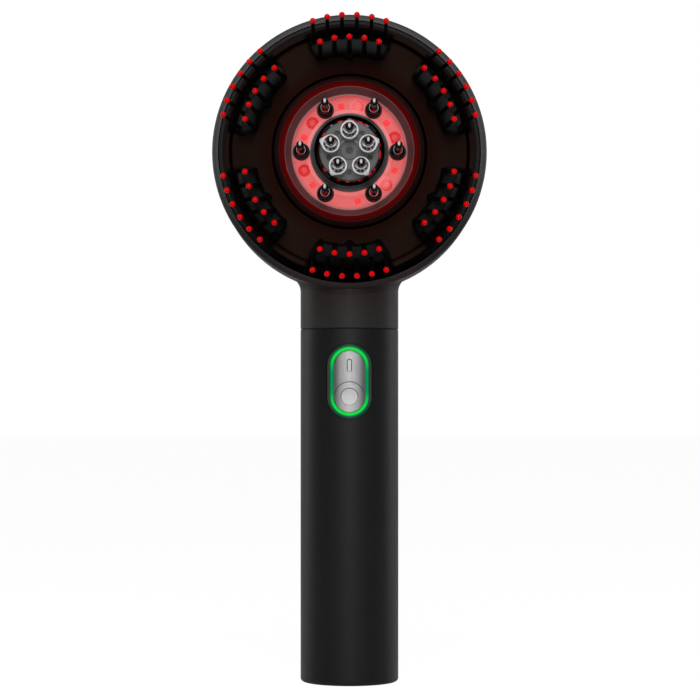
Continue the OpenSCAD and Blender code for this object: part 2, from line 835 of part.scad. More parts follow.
module nozzle_springs() {
    color("#b0b0b0")
        in_head()
            for (i = [1:inner_pins])
                at(inner_ring_r, nozzle_angle(i))
                    translate([0, 0, seat_front])
                        coil(spring_r, spring_wire, nozzle_stop - stop_t - seat_front - 0.02, 4);
}

module inner_pin(i) {
    color("#3c3c40")
        in_head()
            at(inner_ring_r, nozzle_angle(i))
                pin(head_front + inner_pin_h, nozzle_stop, seat_front - 0.4);
}

// ---- Switch ----

module switch_bezel() {
    color("#24302a")
        in_front(switch_z)
            difference() {
                union() {
                    intersection() {
                        pill(bezel_w_out, track_flat, pcb_front + 3, handle_r + 1);
                        handle_round(handle_r - 0.08);
                    }
                    intersection() {
                        translate([-bezel_w_out / 2 - 1.1, -track_flat / 2, pcb_front + 2])
                            cube([bezel_w_out + 2.2, track_flat, handle_bore]);
                        handle_round(handle_bore - 0.1);
                    }
                }
                pill(bezel_hole_w, track_flat, handle_bore - 8, handle_r + 2);
            }
}

module light_ring() {
    color("#10e050")
        in_front(switch_z)
            difference() {
                intersection() {
                    pill(ring_out_w, track_flat, pcb_front + 1.9, handle_r + 1);
                    handle_round(handle_r - 0.12);
                }
                pill(ring_in_w, track_flat, pcb_front + 1, handle_r + 2);
            }
}

// Silver plate under the knob, notched at both sides for the knob's legs, with an engraved I and O
module track_plate() {
    notch_y0 = knob_y - leg_half - play;
    notch_y1 = knob_y + knob_travel + leg_half + play;
    notch_x = leg_out - leg_t - 0.06;
    color("#c4c4c4")
        in_front(switch_z)
            difference() {
                intersection() {
                    pill(track_w, track_flat, track_under, handle_r + 1);
                    handle_round(plate_top_r);
                }
                for (s = [-1, 1])
                    translate([s * (notch_x + 2), (notch_y0 + notch_y1) / 2, handle_r - 3])
                        cube([4, notch_y1 - notch_y0, 12], center = true);
                translate([0, 5.1, 0])
                    pill(1.65, 2.6, plate_top_r - 0.35, handle_r + 1);
                translate([0, knob_y, plate_top_r - 0.4])
                    difference() {
                        cylinder(r = 2.3, h = 2, $fn = 40);
                        cylinder(r = 1.6, h = 2, $fn = 40);
                    }
            }
}

// Round knob with a finger dish, and the two legs and bridge that carry it under the plate
module slide_knob() {
    dish_r = 2.85;
    dish_sphere = (pow(dish_r, 2) + pow(dish_depth, 2)) / (2 * dish_depth);
    color("#d0d0d0")
        in_front(switch_z)
            translate([0, knob_y, 0]) {
                difference() {
                    intersection() {
                        cylinder(r = knob_r, h = handle_r + 1);
                        handle_round(handle_r + 0.05);
                    }
                    handle_round(plate_top_r + 0.08);
                    translate([0, 0, handle_r + 0.05 - dish_depth + dish_sphere])
                        sphere(r = dish_sphere, $fn = 96);
                }
                for (s = [-1, 1])
                    translate([s * (leg_out - leg_t / 2), 0, (plate_top_r + bridge_top - bridge_t) / 2 - 0.2])
                        cube([leg_t, 2 * leg_half, plate_top_r - bridge_top + bridge_t - 0.4], center = true);
                translate([0, 0, bridge_top - bridge_t / 2])
                    cube([2 * leg_out, 2 * leg_half, bridge_t], center = true);
            }
}

module switch_lever() {
    color("#202020")
        in_front(switch_z)
            translate([-1.6, knob_y - lever_half, switch_body_front - 1.1])
                cube([3.2, 2 * lever_half, bridge_top - bridge_t - switch_body_front + 1.1 - 0.02]);
}

module slide_switch() {
    slot_l = knob_travel + 2 * lever_half + 2 * play;
    color("#9a9a9e")
        in_front(switch_z)
            difference() {
                translate([-4, -slot_l / 2 - 1.5, pcb_front + 0.01])
                    cube([8, slot_l + 3, switch_body_front - pcb_front]);
                translate([-1.8, -slot_l / 2, switch_body_front - 1.3])
                    cube([3.6, slot_l, 3]);
            }
}

module status_leds() {
    reach = (ring_in_w + ring_w) / 2;
    color("#60ff90")
        in_front(switch_z)
            for (p = [[0, track_flat / 2 + reach], [0, -track_flat / 2 - reach], [reach, 0], [-reach, 0]])
                translate([p[0] - 0.8, p[1] - 0.8, pcb_front + 0.01])
                    cube([1.6, 1.6, 1.6]);
}

// ---- Inside the handle ----

module main_board() {
    color("#1f5a34")
        in_front(0)
            difference() {
                union() {
                    translate([-pcb_half, pcb_z0, pcb_f + 0.01])
                        cube([2 * pcb_half, pcb_top - pcb_z0, pcb_t]);
                    // chips: left edge, height as a share of the cell's length, width and length
                    for (c = [[-6, 0.09, 7, 7], [3, 0.15, 5, 4], [-4, 0.37, 9, 6], [4, 0.58, 5, 5],
                        [-7, 0.7, 6, 8]])
                        translate([c[0], cell_z0 + c[1] * cell_l, pcb_front - 0.1])
                            cube([c[2], c[3], 1.3]);
                }
                for (p = board_screw_points())
                    translate([p[0], p[1], pcb_f - 1])
                        cylinder(r = 1.05, h = pcb_t + 3, $fn = 24);
            }
}

function board_screw_points() = [[0, cell_z0 - 3.3], [7.5, cell_z0 + cell_l + nub_l + 2.6]];

module battery_cell() {
    color("#3060b0")
        translate([0, -cell_f, cell_z0]) {
            cylinder(d = cell_d, h = cell_l);
            cylinder(r = 2.8, h = cell_l + nub_l);
        }
}

// Carrier of the cell and boards: a D-shaped frame that slides into the handle
module chassis() {
    pocket_r = cell_d / 2 + play;
    pocket_top = cell_z0 + cell_l + nub_l + 0.1;
    window_z0 = pocket_top + 4.8;
    color("#3a3a3c")
        difference() {
            translate([0, 0, chassis_z0])
                cylinder(r = chassis_r, h = chassis_top - chassis_z0);
            translate([-20, -40 - pcb_f, 0])
                cube([40, 40, handle_l + 10]);
            translate([0, -cell_f, cell_z0 - 0.1])
                cylinder(r = pocket_r, h = pocket_top - cell_z0 + 0.1);
            translate([-pocket_r, -pcb_f - 1, cell_z0 - 0.1])
                cube([2 * pocket_r, pcb_f - cell_f + 1, pocket_top - cell_z0 + 0.1]);
            translate([-8.5, -pcb_f - 1, window_z0])
                cube([17, 15, chassis_top - window_z0 - 2]);
            // bay of the charging board, open at the back
            translate([-charge_half - play, -3.5, port_z - socket_h / 2 - charge_t - 0.02])
                cube([2 * (charge_half + play), handle_r + 5, 8]);
            for (p = board_screw_points())
                translate([p[0], 0, p[1]])
                    rotate([90, 0, 0])
                        cylinder(r = 0.8, h = 12, $fn = 24);
        }
}

module charge_board() {
    top = port_z - socket_h / 2;
    color("#1f5a34")
        translate([-charge_half, -3.3, top - charge_t])
            cube([2 * charge_half, 3.3 + charge_back, charge_t - 0.01]);
}

module usb_socket() {
    color("#c0c0c4")
        translate([0, 0, port_z])
            rotate([90, 0, 180]) {
                difference() {
                    slot(socket_w, socket_h, port_face - socket_l, port_face - 0.1);
                    slot(socket_w - 0.6, socket_h - 0.6, port_face - socket_l + 0.8, port_face + 1);
                }
                translate([-3.3, -0.35, port_face - socket_l + 0.5])
                    cube([6.6, 0.7, socket_l - 1.6]);
            }
}

// ---- Motor in the neck ----

module motor_can() {
    color("#b5b5b8")
        translate([0, -motor_f, motor_z0])
            difference() {
                union() {
                    cylinder(r = motor_r, h = motor_l);
                    translate([0, 0, motor_l - tiny])
                        cylinder(r = 2.2, h = 1);
                }
                translate([0, 0, motor_l - 4])
                    cylinder(r = shaft_r + 0.04, h = 8, $fn = 32);
            }
}

module motor_mount() {
    mount_z = motor_z0 + 3;
    mount_front = motor_r - motor_f - 3.2;
    color("#303032")
        difference() {
            translate([0, 0, mount_z])
                cylinder(r = neck_bore - 0.05, h = 5);
            translate([0, -motor_f, mount_z - 1])
                cylinder(r = motor_r + 0.02, h = 7);
            translate([-20, -40 + motor_f - 1.5, mount_z - 1])
                cube([40, 40 - 2 * motor_f, 7]);
        }
}

module motor_shaft() {
    color("#d8d8d8")
        translate([0, -motor_f, motor_z0 + motor_l - 3.9])
            cylinder(r = shaft_r, h = 3.9 + 2.5 + weight_l + 1, $fn = 32);
}

module eccentric_weight() {
    color("#b08d57")
        translate([0, -motor_f, weight_z0])
            difference() {
                union() {
                    intersection() {
                        cylinder(r = weight_r, h = weight_l);
                        translate([-10, 0, 0])
                            cube([20, 10, weight_l]);
                    }
                    cylinder(r = shaft_r + 1.2, h = weight_l, $fn = 32);
                }
                translate([0, 0, -1])
                    cylinder(r = shaft_r + 0.01, h = weight_l + 2, $fn = 32);
            }
}

// ---- Screws and wires ----

// A screw along z whose head's underside is at z = 0
module screw(r, head_r, head_t, l) {
    translate([0, 0, -tiny])
        cylinder(r = r, h = l, $fn = 24);
    translate([0, 0, -head_t])
        difference() {
            cylinder(r = head_r, h = head_t, $fn = 32);
            translate([0, 0, -0.2])
                cylinder(r = head_r * 0.45, h = 0.8, $fn = 6);
        }
}

module board_screws() {
    color("#8a8a8e") {
        in_head()
            for (a = [0, 120, 240])
                at(bezel_flange_r + 4.2, a)
                    translate([0, 0, bay_flange_back - 0.02])
                        screw(0.98, 1.9, 1.3, 6.5);
        in_front(0)
            for (p = board_screw_points())
                translate([p[0], p[1], pcb_front + 0.03])
                    rotate([180, 0, 0])
                        screw(0.78, 1.5, 1.1, 6);
    }
}

// A wire through the given points
module lead(points) {
    wire_r = 0.55;
    for (p = points)
        translate(p)
            sphere(r = wire_r + 0.04, $fn = 20);
    for (i = [0:len(points) - 2])
        rod(points[i], points[i + 1], wire_r, wire_r);
}

// Leads from the top of the control board to the light board and to the motor
module wiring() {
    board_edge_z = head_z - sqrt(pow(board_r, 2) - 16) - 0.65;
    wire_f = pcb_f + pcb_t / 2;
    color("#b02020") {
        lead([[-4, -wire_f, pcb_top + 0.62], [-4, -wire_f, motor_z0 + motor_l + 2],
            [-4, -(board_front + board_back) / 2, board_edge_z]]);
        lead([[4, -wire_f, pcb_top + 0.62], [4, -5, handle_l - 1], [2, -motor_f - 1.5, motor_z0 - 0.62]]);
    }
}

handle_shell();
rear_housing();
front_cover();
bezel_ring();
glow_ring();
reflector_cup();
lens();
led_board();
leds();
nozzle_collar();
pin_sleeves();
pin_ferrules();
pin_springs();
for (i = [1:6]) {
    comb_pad(i);
    comb_tips(i);
    outer_pin(i);
}
for (i = [1:5])
    inner_pin(i);
nozzle_plate();
nozzle_sleeves();
cartridge_cup();
cartridge_seal();
nozzle_springs();
switch_bezel();
light_ring();
track_plate();
slide_knob();
switch_lever();
slide_switch();
status_leds();
main_board();
charge_board();
usb_socket();
battery_cell();
chassis();
neck_seal();
motor_can();
motor_mount();
motor_shaft();
eccentric_weight();
board_screws();
wiring();
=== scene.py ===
"""Looks of the electric scalp massager: the comb pads' soft blocks, teeth and ball tips, the lit ring with
its lamps, the pins' springs and the switch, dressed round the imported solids. The frame is in metres, with +Z
up the handle and the working face towards -Y."""

import json

import bmesh
import bpy
import numpy as np
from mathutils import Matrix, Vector


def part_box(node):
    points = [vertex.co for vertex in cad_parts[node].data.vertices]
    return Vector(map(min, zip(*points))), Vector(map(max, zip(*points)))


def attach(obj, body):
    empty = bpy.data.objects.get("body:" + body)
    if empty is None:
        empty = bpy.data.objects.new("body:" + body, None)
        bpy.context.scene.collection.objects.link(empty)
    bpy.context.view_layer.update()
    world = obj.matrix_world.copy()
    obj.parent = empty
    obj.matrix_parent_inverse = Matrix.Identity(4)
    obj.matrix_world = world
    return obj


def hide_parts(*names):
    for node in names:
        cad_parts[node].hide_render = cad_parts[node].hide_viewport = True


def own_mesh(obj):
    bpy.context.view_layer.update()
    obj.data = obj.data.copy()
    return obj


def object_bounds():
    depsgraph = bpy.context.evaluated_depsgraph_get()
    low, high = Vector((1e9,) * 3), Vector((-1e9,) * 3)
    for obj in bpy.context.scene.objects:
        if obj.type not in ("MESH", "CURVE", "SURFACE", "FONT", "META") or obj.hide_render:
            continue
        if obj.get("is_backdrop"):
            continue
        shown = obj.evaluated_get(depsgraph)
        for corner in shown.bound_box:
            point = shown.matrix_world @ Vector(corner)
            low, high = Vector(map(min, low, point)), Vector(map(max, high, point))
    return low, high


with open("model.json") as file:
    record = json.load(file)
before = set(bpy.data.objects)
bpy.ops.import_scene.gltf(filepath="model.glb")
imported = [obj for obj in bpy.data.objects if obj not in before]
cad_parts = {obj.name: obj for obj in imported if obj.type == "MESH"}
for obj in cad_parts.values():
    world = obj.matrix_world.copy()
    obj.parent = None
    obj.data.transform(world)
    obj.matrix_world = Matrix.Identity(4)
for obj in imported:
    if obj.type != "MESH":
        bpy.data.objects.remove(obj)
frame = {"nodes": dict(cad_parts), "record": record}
solid_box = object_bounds()
NODES = frame["nodes"]

MM = 0.001
HEAD_Z = 171.5 * MM  # height of the head's axis
SWITCH_Z = 97.9 * MM  # height of the middle of the switch
TRACK_HALF = 4.9 * MM  # half length of the straight part of the switch's track
MARK_Z = 103.0 * MM  # height of the middle of the engraved I
OUTER_PINS = (6, 15.44, 0)  # number of pins, radius of their circle in mm, angle of the first in degrees
INNER_PINS = (5, 6.25, 90)
ROOM_LIGHT = 0.05  # light of the room before the object
KEY_WATTS = 13
STRIP_WATTS = 3
EDGE_WATTS = 1.6

# ---------------------------------------------------------------- camera, backdrop and light


def add_camera():
    """A long lens square on to the working face, level with the lower half of the object."""
    data = bpy.data.cameras.new("front_view")
    data.sensor_width = 36
    data.lens = 121.74
    data.shift_x = 0.0008
    data.shift_y = 0.0786
    camera = bpy.data.objects.new("front_view", data)
    camera.location = (0, -0.775, 0.09031)
    camera.rotation_euler = (np.pi / 2, 0, 0)
    bpy.context.scene.collection.objects.link(camera)
    bpy.context.scene.camera = camera


def add_softbox(name, place, aim, size, watts):
    """A white rectangular lamp at place, turned towards aim."""
    data = bpy.data.lights.new(name, "AREA")
    data.shape = "RECTANGLE"
    data.size, data.size_y = size
    data.energy = watts
    lamp = bpy.data.objects.new(name, data)
    lamp.location = place
    lamp.rotation_mode = "QUATERNION"
    lamp.rotation_quaternion = Vector(np.subtract(aim, place)).to_track_quat("-Z", "Y")
    bpy.context.scene.collection.objects.link(lamp)


# ---------------------------------------------------------------- materials


class Value:
    """A socket in a material. Arithmetic on it adds Math nodes."""

    def __init__(self, paint, socket):
        self.paint, self.socket = paint, socket

    def maths(self, operation, *terms, clamp=False):
        settings = {"operation": operation, "use_clamp": clamp}
        return self.paint.node("ShaderNodeMath", settings, dict(enumerate(terms)))

    def __add__(self, other):
        return self.maths("ADD", self, other)

    __radd__ = __add__

    def __sub__(self, other):
        return self.maths("SUBTRACT", self, other)

    def __rsub__(self, other):
        return self.maths("SUBTRACT", other, self)

    def __mul__(self, other):
        return self.maths("MULTIPLY", self, other)

    __rmul__ = __mul__

    def __truediv__(self, other):
        return self.maths("DIVIDE", self, other)

    def __pow__(self, other):
        return self.maths("POWER", self, other)

    def __abs__(self):
        return self.maths("ABSOLUTE", self)

    def clamped(self):
        return self.maths("ADD", self, 0.0, clamp=True)

    def rise(self, low, high):
        """0 below low, 1 above high, smooth between."""
        return self.paint.node(
            "ShaderNodeMapRange",
            {"interpolation_type": "SMOOTHSTEP"},
            {"Value": self, "From Min": low, "From Max": high},
            "Result",
        )

    def band(self, middle, half, soft):
        """1 within half of middle, fading to 0 over soft."""
        return 1 - abs(self - middle).rise(half, half + soft)


class Nodes:
    """A node tree and short ways to add to it."""

    def __init__(self, tree):
        self.tree = tree
        tree.nodes.clear()

    def feed(self, socket, value):
        if isinstance(value, Value):
            self.tree.links.new(value.socket, socket)
        elif isinstance(value, (tuple, list)) and socket.type == "RGBA" and len(value) == 3:
            socket.default_value = (*value, 1)
        else:
            socket.default_value = value

    def node(self, kind, settings=None, inputs=None, output=0):
        """Adds a node: settings first, then its sockets by name or number. Returns one output."""
        made = self.tree.nodes.new(kind)
        for key, value in (settings or {}).items():
            setattr(made, key, value)
        for key, value in (inputs or {}).items():
            self.feed(made.inputs[key], value)
        return Value(self, made.outputs[output]) if made.outputs else None

    def rays(self, *kinds):
        """1 for rays of any of these kinds, such as Camera or Glossy."""
        found = [self.node("ShaderNodeLightPath", output=f"Is {kind} Ray") for kind in kinds]
        return sum(found[1:], found[0])


class Paint(Nodes):
    """One material: a Principled shader and whatever feeds it."""

    def __init__(self, name, **constants):
        self.material = bpy.data.materials.new(name)
        self.material.use_nodes = True
        super().__init__(self.material.node_tree)
        self.shader = self.tree.nodes.new("ShaderNodeBsdfPrincipled")
        self.out = self.tree.nodes.new("ShaderNodeOutputMaterial")
        self.tree.links.new(self.shader.outputs[0], self.out.inputs["Surface"])
        self.set(**constants)
        self._place = None

    def set(self, **sockets):
        """Sets or links the shader's sockets; base_color stands for Base Color."""
        for key, value in sockets.items():
            title = key.replace("_", " ").title().replace("Ior", "IOR")
            self.feed(self.shader.inputs[title], value)
        return self

    @property
    def place(self):
        if self._place is None:
            self._place = self.node("ShaderNodeTexCoord", output="Object")
        return self._place

    def axis(self, name):
        return self.node("ShaderNodeSeparateXYZ", None, {0: self.place}, name)

    def from_axis(self):
        """Distance from the head's axis."""
        x, z = self.axis("X"), self.axis("Z") - HEAD_Z
        return (x * x + z * z) ** 0.5

    def turn(self):
        """Angle round the head's axis, from the right side upwards."""
        x, z = self.axis("X"), self.axis("Z") - HEAD_Z
        return z.maths("ARCTAN2", z, x)

    def turn_from(self, count, first):
        """Angle from the nearest of count even directions, the first of them given in degrees."""
        first, step = float(np.radians(first)), 2 * np.pi / count
        turns = (self.turn() - first) / step
        return (turns - turns.maths("ROUND", turns)) * step

    def from_pin(self, count, ring_mm, first):
        """Sideways and upward offsets and the distance from the nearest of count axes that stand evenly on a
        circle round the head's axis, the first at the angle given."""
        x, z = self.axis("X"), self.axis("Z") - HEAD_Z
        nearest = self.turn() - self.turn_from(count, first)
        across = x - ring_mm * MM * nearest.maths("COSINE", nearest)
        up = z - ring_mm * MM * nearest.maths("SINE", nearest)
        return across, up, (across * across + up * up) ** 0.5

    def from_slot(self, middle_z, half_length):
        """Distance from the middle line of an upright slot: half_length is that line's half length."""
        x, z = self.axis("X"), abs(self.axis("Z") - middle_z)
        past = z.maths("MAXIMUM", z - half_length, 0.0)
        return (x * x + past * past) ** 0.5

    def noise(self, scale, detail=3.0, rough=0.55, stretch=None):
        place = self.place
        if stretch:
            inputs = {"Vector": place, "Scale": stretch}
            place = self.node("ShaderNodeMapping", {"vector_type": "POINT"}, inputs)
        return self.node(
            "ShaderNodeTexNoise",
            {"noise_dimensions": "3D"},
            {"Vector": place, "Scale": scale, "Detail": detail, "Roughness": rough},
            "Fac",
        )

    def mix(self, share, a, b):
        return self.node("ShaderNodeMix", {"data_type": "RGBA"}, {0: share, 6: a, 7: b}, 2)

    def bump(self, height, depth):
        """Bump of the given depth in metres."""
        inputs = {"Height": height, "Strength": 1.0, "Distance": depth}
        return self.node("ShaderNodeBump", None, inputs, "Normal")


# ---------------------------------------------------------------- shapes


def grid_faces(rows, columns):
    """Quads of a grid of points, row by row; the last column meets the first."""
    row, column = np.meshgrid(np.arange(rows - 1), np.arange(columns), indexing="ij")
    here, beside = row * columns + column, row * columns + (column + 1) % columns
    return np.stack([here, beside, beside + columns, here + columns], -1).reshape(-1, 4)


def add_piece(name, points, faces, paint, body, smooth=True):
    """A mesh piece of the given points and quads that rides on body. Doubled points are merged and normals
    turned out."""
    mesh = bpy.data.meshes.new(name)
    mesh.from_pydata(np.reshape(points, (-1, 3)).tolist(), [], np.asarray(faces).tolist())
    shape = bmesh.new()
    shape.from_mesh(mesh)
    bmesh.ops.remove_doubles(shape, verts=shape.verts, dist=1e-6)
    bmesh.ops.dissolve_degenerate(shape, edges=shape.edges, dist=1e-7)
    bmesh.ops.recalc_face_normals(shape, faces=shape.faces)
    shape.to_mesh(mesh)
    shape.free()
    mesh.shade_smooth() if smooth else mesh.shade_flat()
    mesh.materials.append(paint.material)
    piece = bpy.data.objects.new(name, mesh)
    bpy.context.scene.collection.objects.link(piece)
    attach(piece, body)
    return piece


def in_head(radius, angle, forward):
    """Points from radius and angle round the head's axis and forward distance, in metres and degrees."""
    radius, angle, forward = np.broadcast_arrays(radius, np.radians(angle), forward)
    return np.stack([radius * np.cos(angle), -forward, HEAD_Z + radius * np.sin(angle)], -1)


def along_spoke(outwards, sideways, forward, angle):
    """Points from distances in mm outwards along a spoke of the face, sideways from it and forward. The
    spoke's angle is in degrees."""
    outwards, sideways, forward = np.broadcast_arrays(outwards, sideways, forward)
    cos, sin = np.cos(np.radians(angle)), np.sin(np.radians(angle))
    x, z = outwards * cos - sideways * sin, outwards * sin + sideways * cos
    return np.stack([x, -forward, z], -1) * MM + [0, 0, HEAD_Z]


def rings(profile, sides, centre_r=0.0, centre_angle=0.0):
    """A turned shape: profile is (radius, forward) points in mm, carried round an axis parallel to the
    head's."""
    profile = np.asarray(profile, float) * MM
    turn = np.linspace(0, 2 * np.pi, sides, endpoint=False)
    centre = in_head(centre_r * MM, centre_angle, 0.0)
    x = profile[:, :1] * np.cos(turn)
    z = profile[:, :1] * np.sin(turn)
    y = np.broadcast_to(-profile[:, 1:], x.shape)
    return np.stack([x, y, z], -1) + centre


def bundle(shapes):
    """Points and faces of several grids of the same size as one mesh."""
    shapes = np.asarray(shapes)
    count, rows, columns = shapes.shape[:3]
    start = (np.arange(count) * rows * columns)[:, None, None]
    return shapes.reshape(-1, 3), (grid_faces(rows, columns)[None] + start).reshape(-1, 4)


# ---- comb pads, in mm and degrees

ROW_CENTRE = 6.5  # the rows of teeth curve round a point this far out from the head's axis
INNER_TEETH = dict(count=5, step=9.8, root_r=30.9, root_f=23.5, lean=3.1, thick=0.64)
OUTER_TEETH = dict(count=6, step=7.8, root_r=35.3, root_f=23.0, lean=5.6, thick=0.58)
TIP_F = 35.0  # forward distance of the balls' centres
BALL_R = 0.92
SEAT = 0.45  # from a ball's centre back to the end of its tooth
PAD_BASE_F = 17.02  # forward distance of the pads' undersides
PAD_HALF = 20.8  # half of the angle that a pad spans


def tooth_lines(middle):
    """Roots, tips, unit directions and end radii of a pad's eleven teeth. The tips stand on an arc round the
    row centre, and every tooth leans outwards along the pad's middle line."""
    out = in_head(1.0, middle, 0.0) - in_head(0.0, middle, 0.0)
    roots, tips, thick = [], [], []
    for row in (INNER_TEETH, OUTER_TEETH):
        angles = middle + row["step"] * (np.arange(row["count"]) - (row["count"] - 1) / 2)
        reach = row["root_r"] + row["lean"] - ROW_CENTRE
        tip = in_head(reach * MM, angles, TIP_F * MM) + ROW_CENTRE * MM * out
        tips.append(tip)
        roots.append(tip - row["lean"] * MM * out + [0, (TIP_F - row["root_f"]) * MM, 0])
        thick += [row["thick"]] * row["count"]
    roots, tips = np.concatenate(roots), np.concatenate(tips)
    along = tips - roots
    return roots, tips, along / np.linalg.norm(along, axis=1, keepdims=True), np.array(thick)


def spokes(along, sides):
    """Unit vectors all round each direction and square to it, for tubes of that many sides."""
    side = np.cross(along, [0.0, 0.0, 1.0])
    side /= np.linalg.norm(side, axis=1, keepdims=True)
    up = np.cross(along, side)
    turn = np.linspace(0, 2 * np.pi, sides, endpoint=False)[None, :, None]
    return side[:, None] * np.cos(turn) + up[:, None] * np.sin(turn)


def pad_block(middle):
    """The soft block of one pad. Its section is a rounded quadrilateral in radius and forward distance. Along
    the arc the section shrinks to a point at both ends by (1 - |t|^9)^(1/9), which gives blunt rounded ends.
    Bell curves of the angle push the inner wall inwards, as a low rib under each inner tooth and a nose in
    the middle, and the top is dished between the ribs."""
    section = np.array([
        [30.0, PAD_BASE_F], [30.05, 22.6], [30.7, 23.9], [31.6, 24.35], [34.4, 24.45], [35.2, 24.1],
        [36.5, 21.6], [37.35, 18.6], [37.35, PAD_BASE_F],
    ])
    for _ in range(3):  # corner cutting rounds the section
        ahead = np.roll(section, -1, axis=0)
        section = np.stack([0.75 * section + 0.25 * ahead, 0.25 * section + 0.75 * ahead], 1).reshape(-1, 2)
    heart = np.array([33.6, 19.6])
    t = np.sin(np.linspace(-np.pi / 2, np.pi / 2, 121))
    size = np.maximum(1 - np.abs(t) ** 9, 0) ** (1 / 9)
    grown = heart + size[:, None, None] * (section - heart)
    radius, forward = grown[..., 0], np.maximum(grown[..., 1], PAD_BASE_F)
    angle = PAD_HALF * t[:, None]
    inner, low = np.clip((32.6 - radius) / 2.4, 0, 1), np.clip((24.2 - forward) / 2.5, 0, 1)
    teeth = np.degrees(9.15 / 30.3) * np.array([-1, -0.5, 0, 0.5, 1])
    rib = np.exp(-(((angle - teeth) / 1.3) ** 2)).sum(1)[:, None]
    nose = np.exp(-((angle / 2.9) ** 4))
    radius = radius - inner * (0.2 * rib + 1.25 * nose * low)
    forward = forward - 0.22 * (1 - rib) * np.clip((forward - 22) / 2, 0, 1)
    taper = 1 - 0.035 * np.clip((forward - 17) / 7.5, 0, 1) - 0.035 * inner
    return in_head(radius * MM, middle + angle * taper, forward * MM)


def pad_teeth(middle):
    """Round teeth: the radius falls a little from a small fillet at the root to the tip, closed at both
    ends."""
    roots, tips, along, thick = tooth_lines(middle)
    length = np.linalg.norm(tips - roots, axis=1) - SEAT * MM
    t = np.array([-0.05, -0.05, -0.03, 0.0, 0.05, 0.12, 0.26, 0.45, 0.7, 0.93, 0.985, 1.0, 1.0])
    swell = 1 + 0.14 * (1 - np.clip(t, 0, 1)) ** 1.4 + 0.1 * np.exp(-np.clip(t, 0, 1) / 0.035)
    swell[[0, -1]] = 0
    swell[-2] = 0.88
    centre = roots[:, None] + along[:, None] * (t[None, :, None] * length[:, None, None])
    size = (thick[:, None] * swell * MM)[:, :, None, None]
    return centre[:, :, None] + spokes(along, 20)[:, None] * size


def pad_balls(middle):
    """Ball tips: a circle of latitude for each row, from the flat seat at the tooth's end round to the
    front."""
    _, tips, along, _ = tooth_lines(middle)
    start = np.arccos(-SEAT / BALL_R)
    latitude = np.concatenate([[start], np.linspace(start, 0, 13)])
    ring = BALL_R * np.sin(latitude)
    ring[0] = 0
    reach = BALL_R * np.cos(latitude)
    return (tips[:, None, None] + spokes(along, 22)[:, None] * (ring * MM)[None, :, None, None]
            + (along[:, None] * (reach * MM)[None, :, None])[:, :, None])


def dress_pads(silicone, tip_red):
    for i in range(1, 7):
        middle = 90 + 60 * (i - 1)
        block = pad_block(middle)
        points, faces = block.reshape(-1, 3), grid_faces(*block.shape[:2])
        teeth, tooth_faces = bundle(pad_teeth(middle))
        pad = add_piece(f"silicone_pad_{i}", np.concatenate([points, teeth]),
                        np.concatenate([faces, tooth_faces + len(points)]), silicone, "massager")
        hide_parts(f"comb_pad_{i}")
        tips = add_piece(f"ball_tips_{i}", *bundle(pad_balls(middle)), tip_red, "massager")
        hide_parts(f"comb_tips_{i}")


# ---- light and small parts of the head, in mm and degrees

LAMP_R = 15.54  # radius of the lamps' circle
ROUND_LAMPS = (20, 80, 140, 200, 320)
SQUARE_LAMPS = (40, 100, 160, 220, 280, 340)
BOARD_F = 8.9  # forward distance of the lamps' undersides


def round_lamps(ring_paint, dome_paint):
    """Round lamps: a low ring with a dimpled dome inside it, both turned shapes."""
    ring = [(0.96, 0.92), (1.02, 1.06), (1.25, 1.14), (1.6, 1.1), (1.9, 0.95), (2.0, 0.6), (2.0, 0.05),
            (0.9, 0.05), (0.9, 0.8), (0.96, 0.92)]
    dome = [(0.0, 0.72), (0.25, 0.76), (0.5, 0.86), (0.7, 0.92), (0.85, 0.86), (0.9, 0.7), (0.9, 0.05),
            (0.0, 0.05)]
    for name, profile, paint in (("lamp_rings", ring, ring_paint), ("lamp_domes", dome, dome_paint)):
        shapes = [rings(np.add(profile, (0, BOARD_F)), 36, LAMP_R, a) for a in ROUND_LAMPS]
        piece = add_piece(name, *bundle(shapes), paint, "massager")
        yield piece


def pillow(half, power, heights, shrink, angle):
    """A low rounded square on the lamps' circle. Its outline is the superellipse |x|^n + |y|^n = 1, repeated
    at each height with a share of the half width."""
    turn = np.linspace(0, 2 * np.pi, 40, endpoint=False)
    out = (np.abs(np.cos(turn)) ** power + np.abs(np.sin(turn)) ** power) ** (-1 / power)
    size = half * np.asarray(shrink)[:, None]
    outwards, sideways = LAMP_R + size * out * np.cos(turn), size * out * np.sin(turn)
    return along_spoke(outwards, sideways, BOARD_F + np.asarray(heights)[:, None], angle)


def square_lamps(package_paint, die_paint):
    """Square lamps: a package with a raised die, both pillows."""
    package = (1.1, 8, (0.02, 0.02, 0.62, 0.7, 0.7, 0.6, 0.6), (0, 1, 1, 0.94, 0.78, 0.74, 0))
    die = (0.92, 6, (0.61, 0.61, 0.8, 0.86, 0.86), (0, 1, 1, 0.9, 0))
    for name, shape, paint in (("lamp_packages", package, package_paint), ("lamp_dies", die, die_paint)):
        piece = add_piece(name, *bundle([pillow(*shape, a) for a in SQUARE_LAMPS]), paint, "massager")
        yield piece


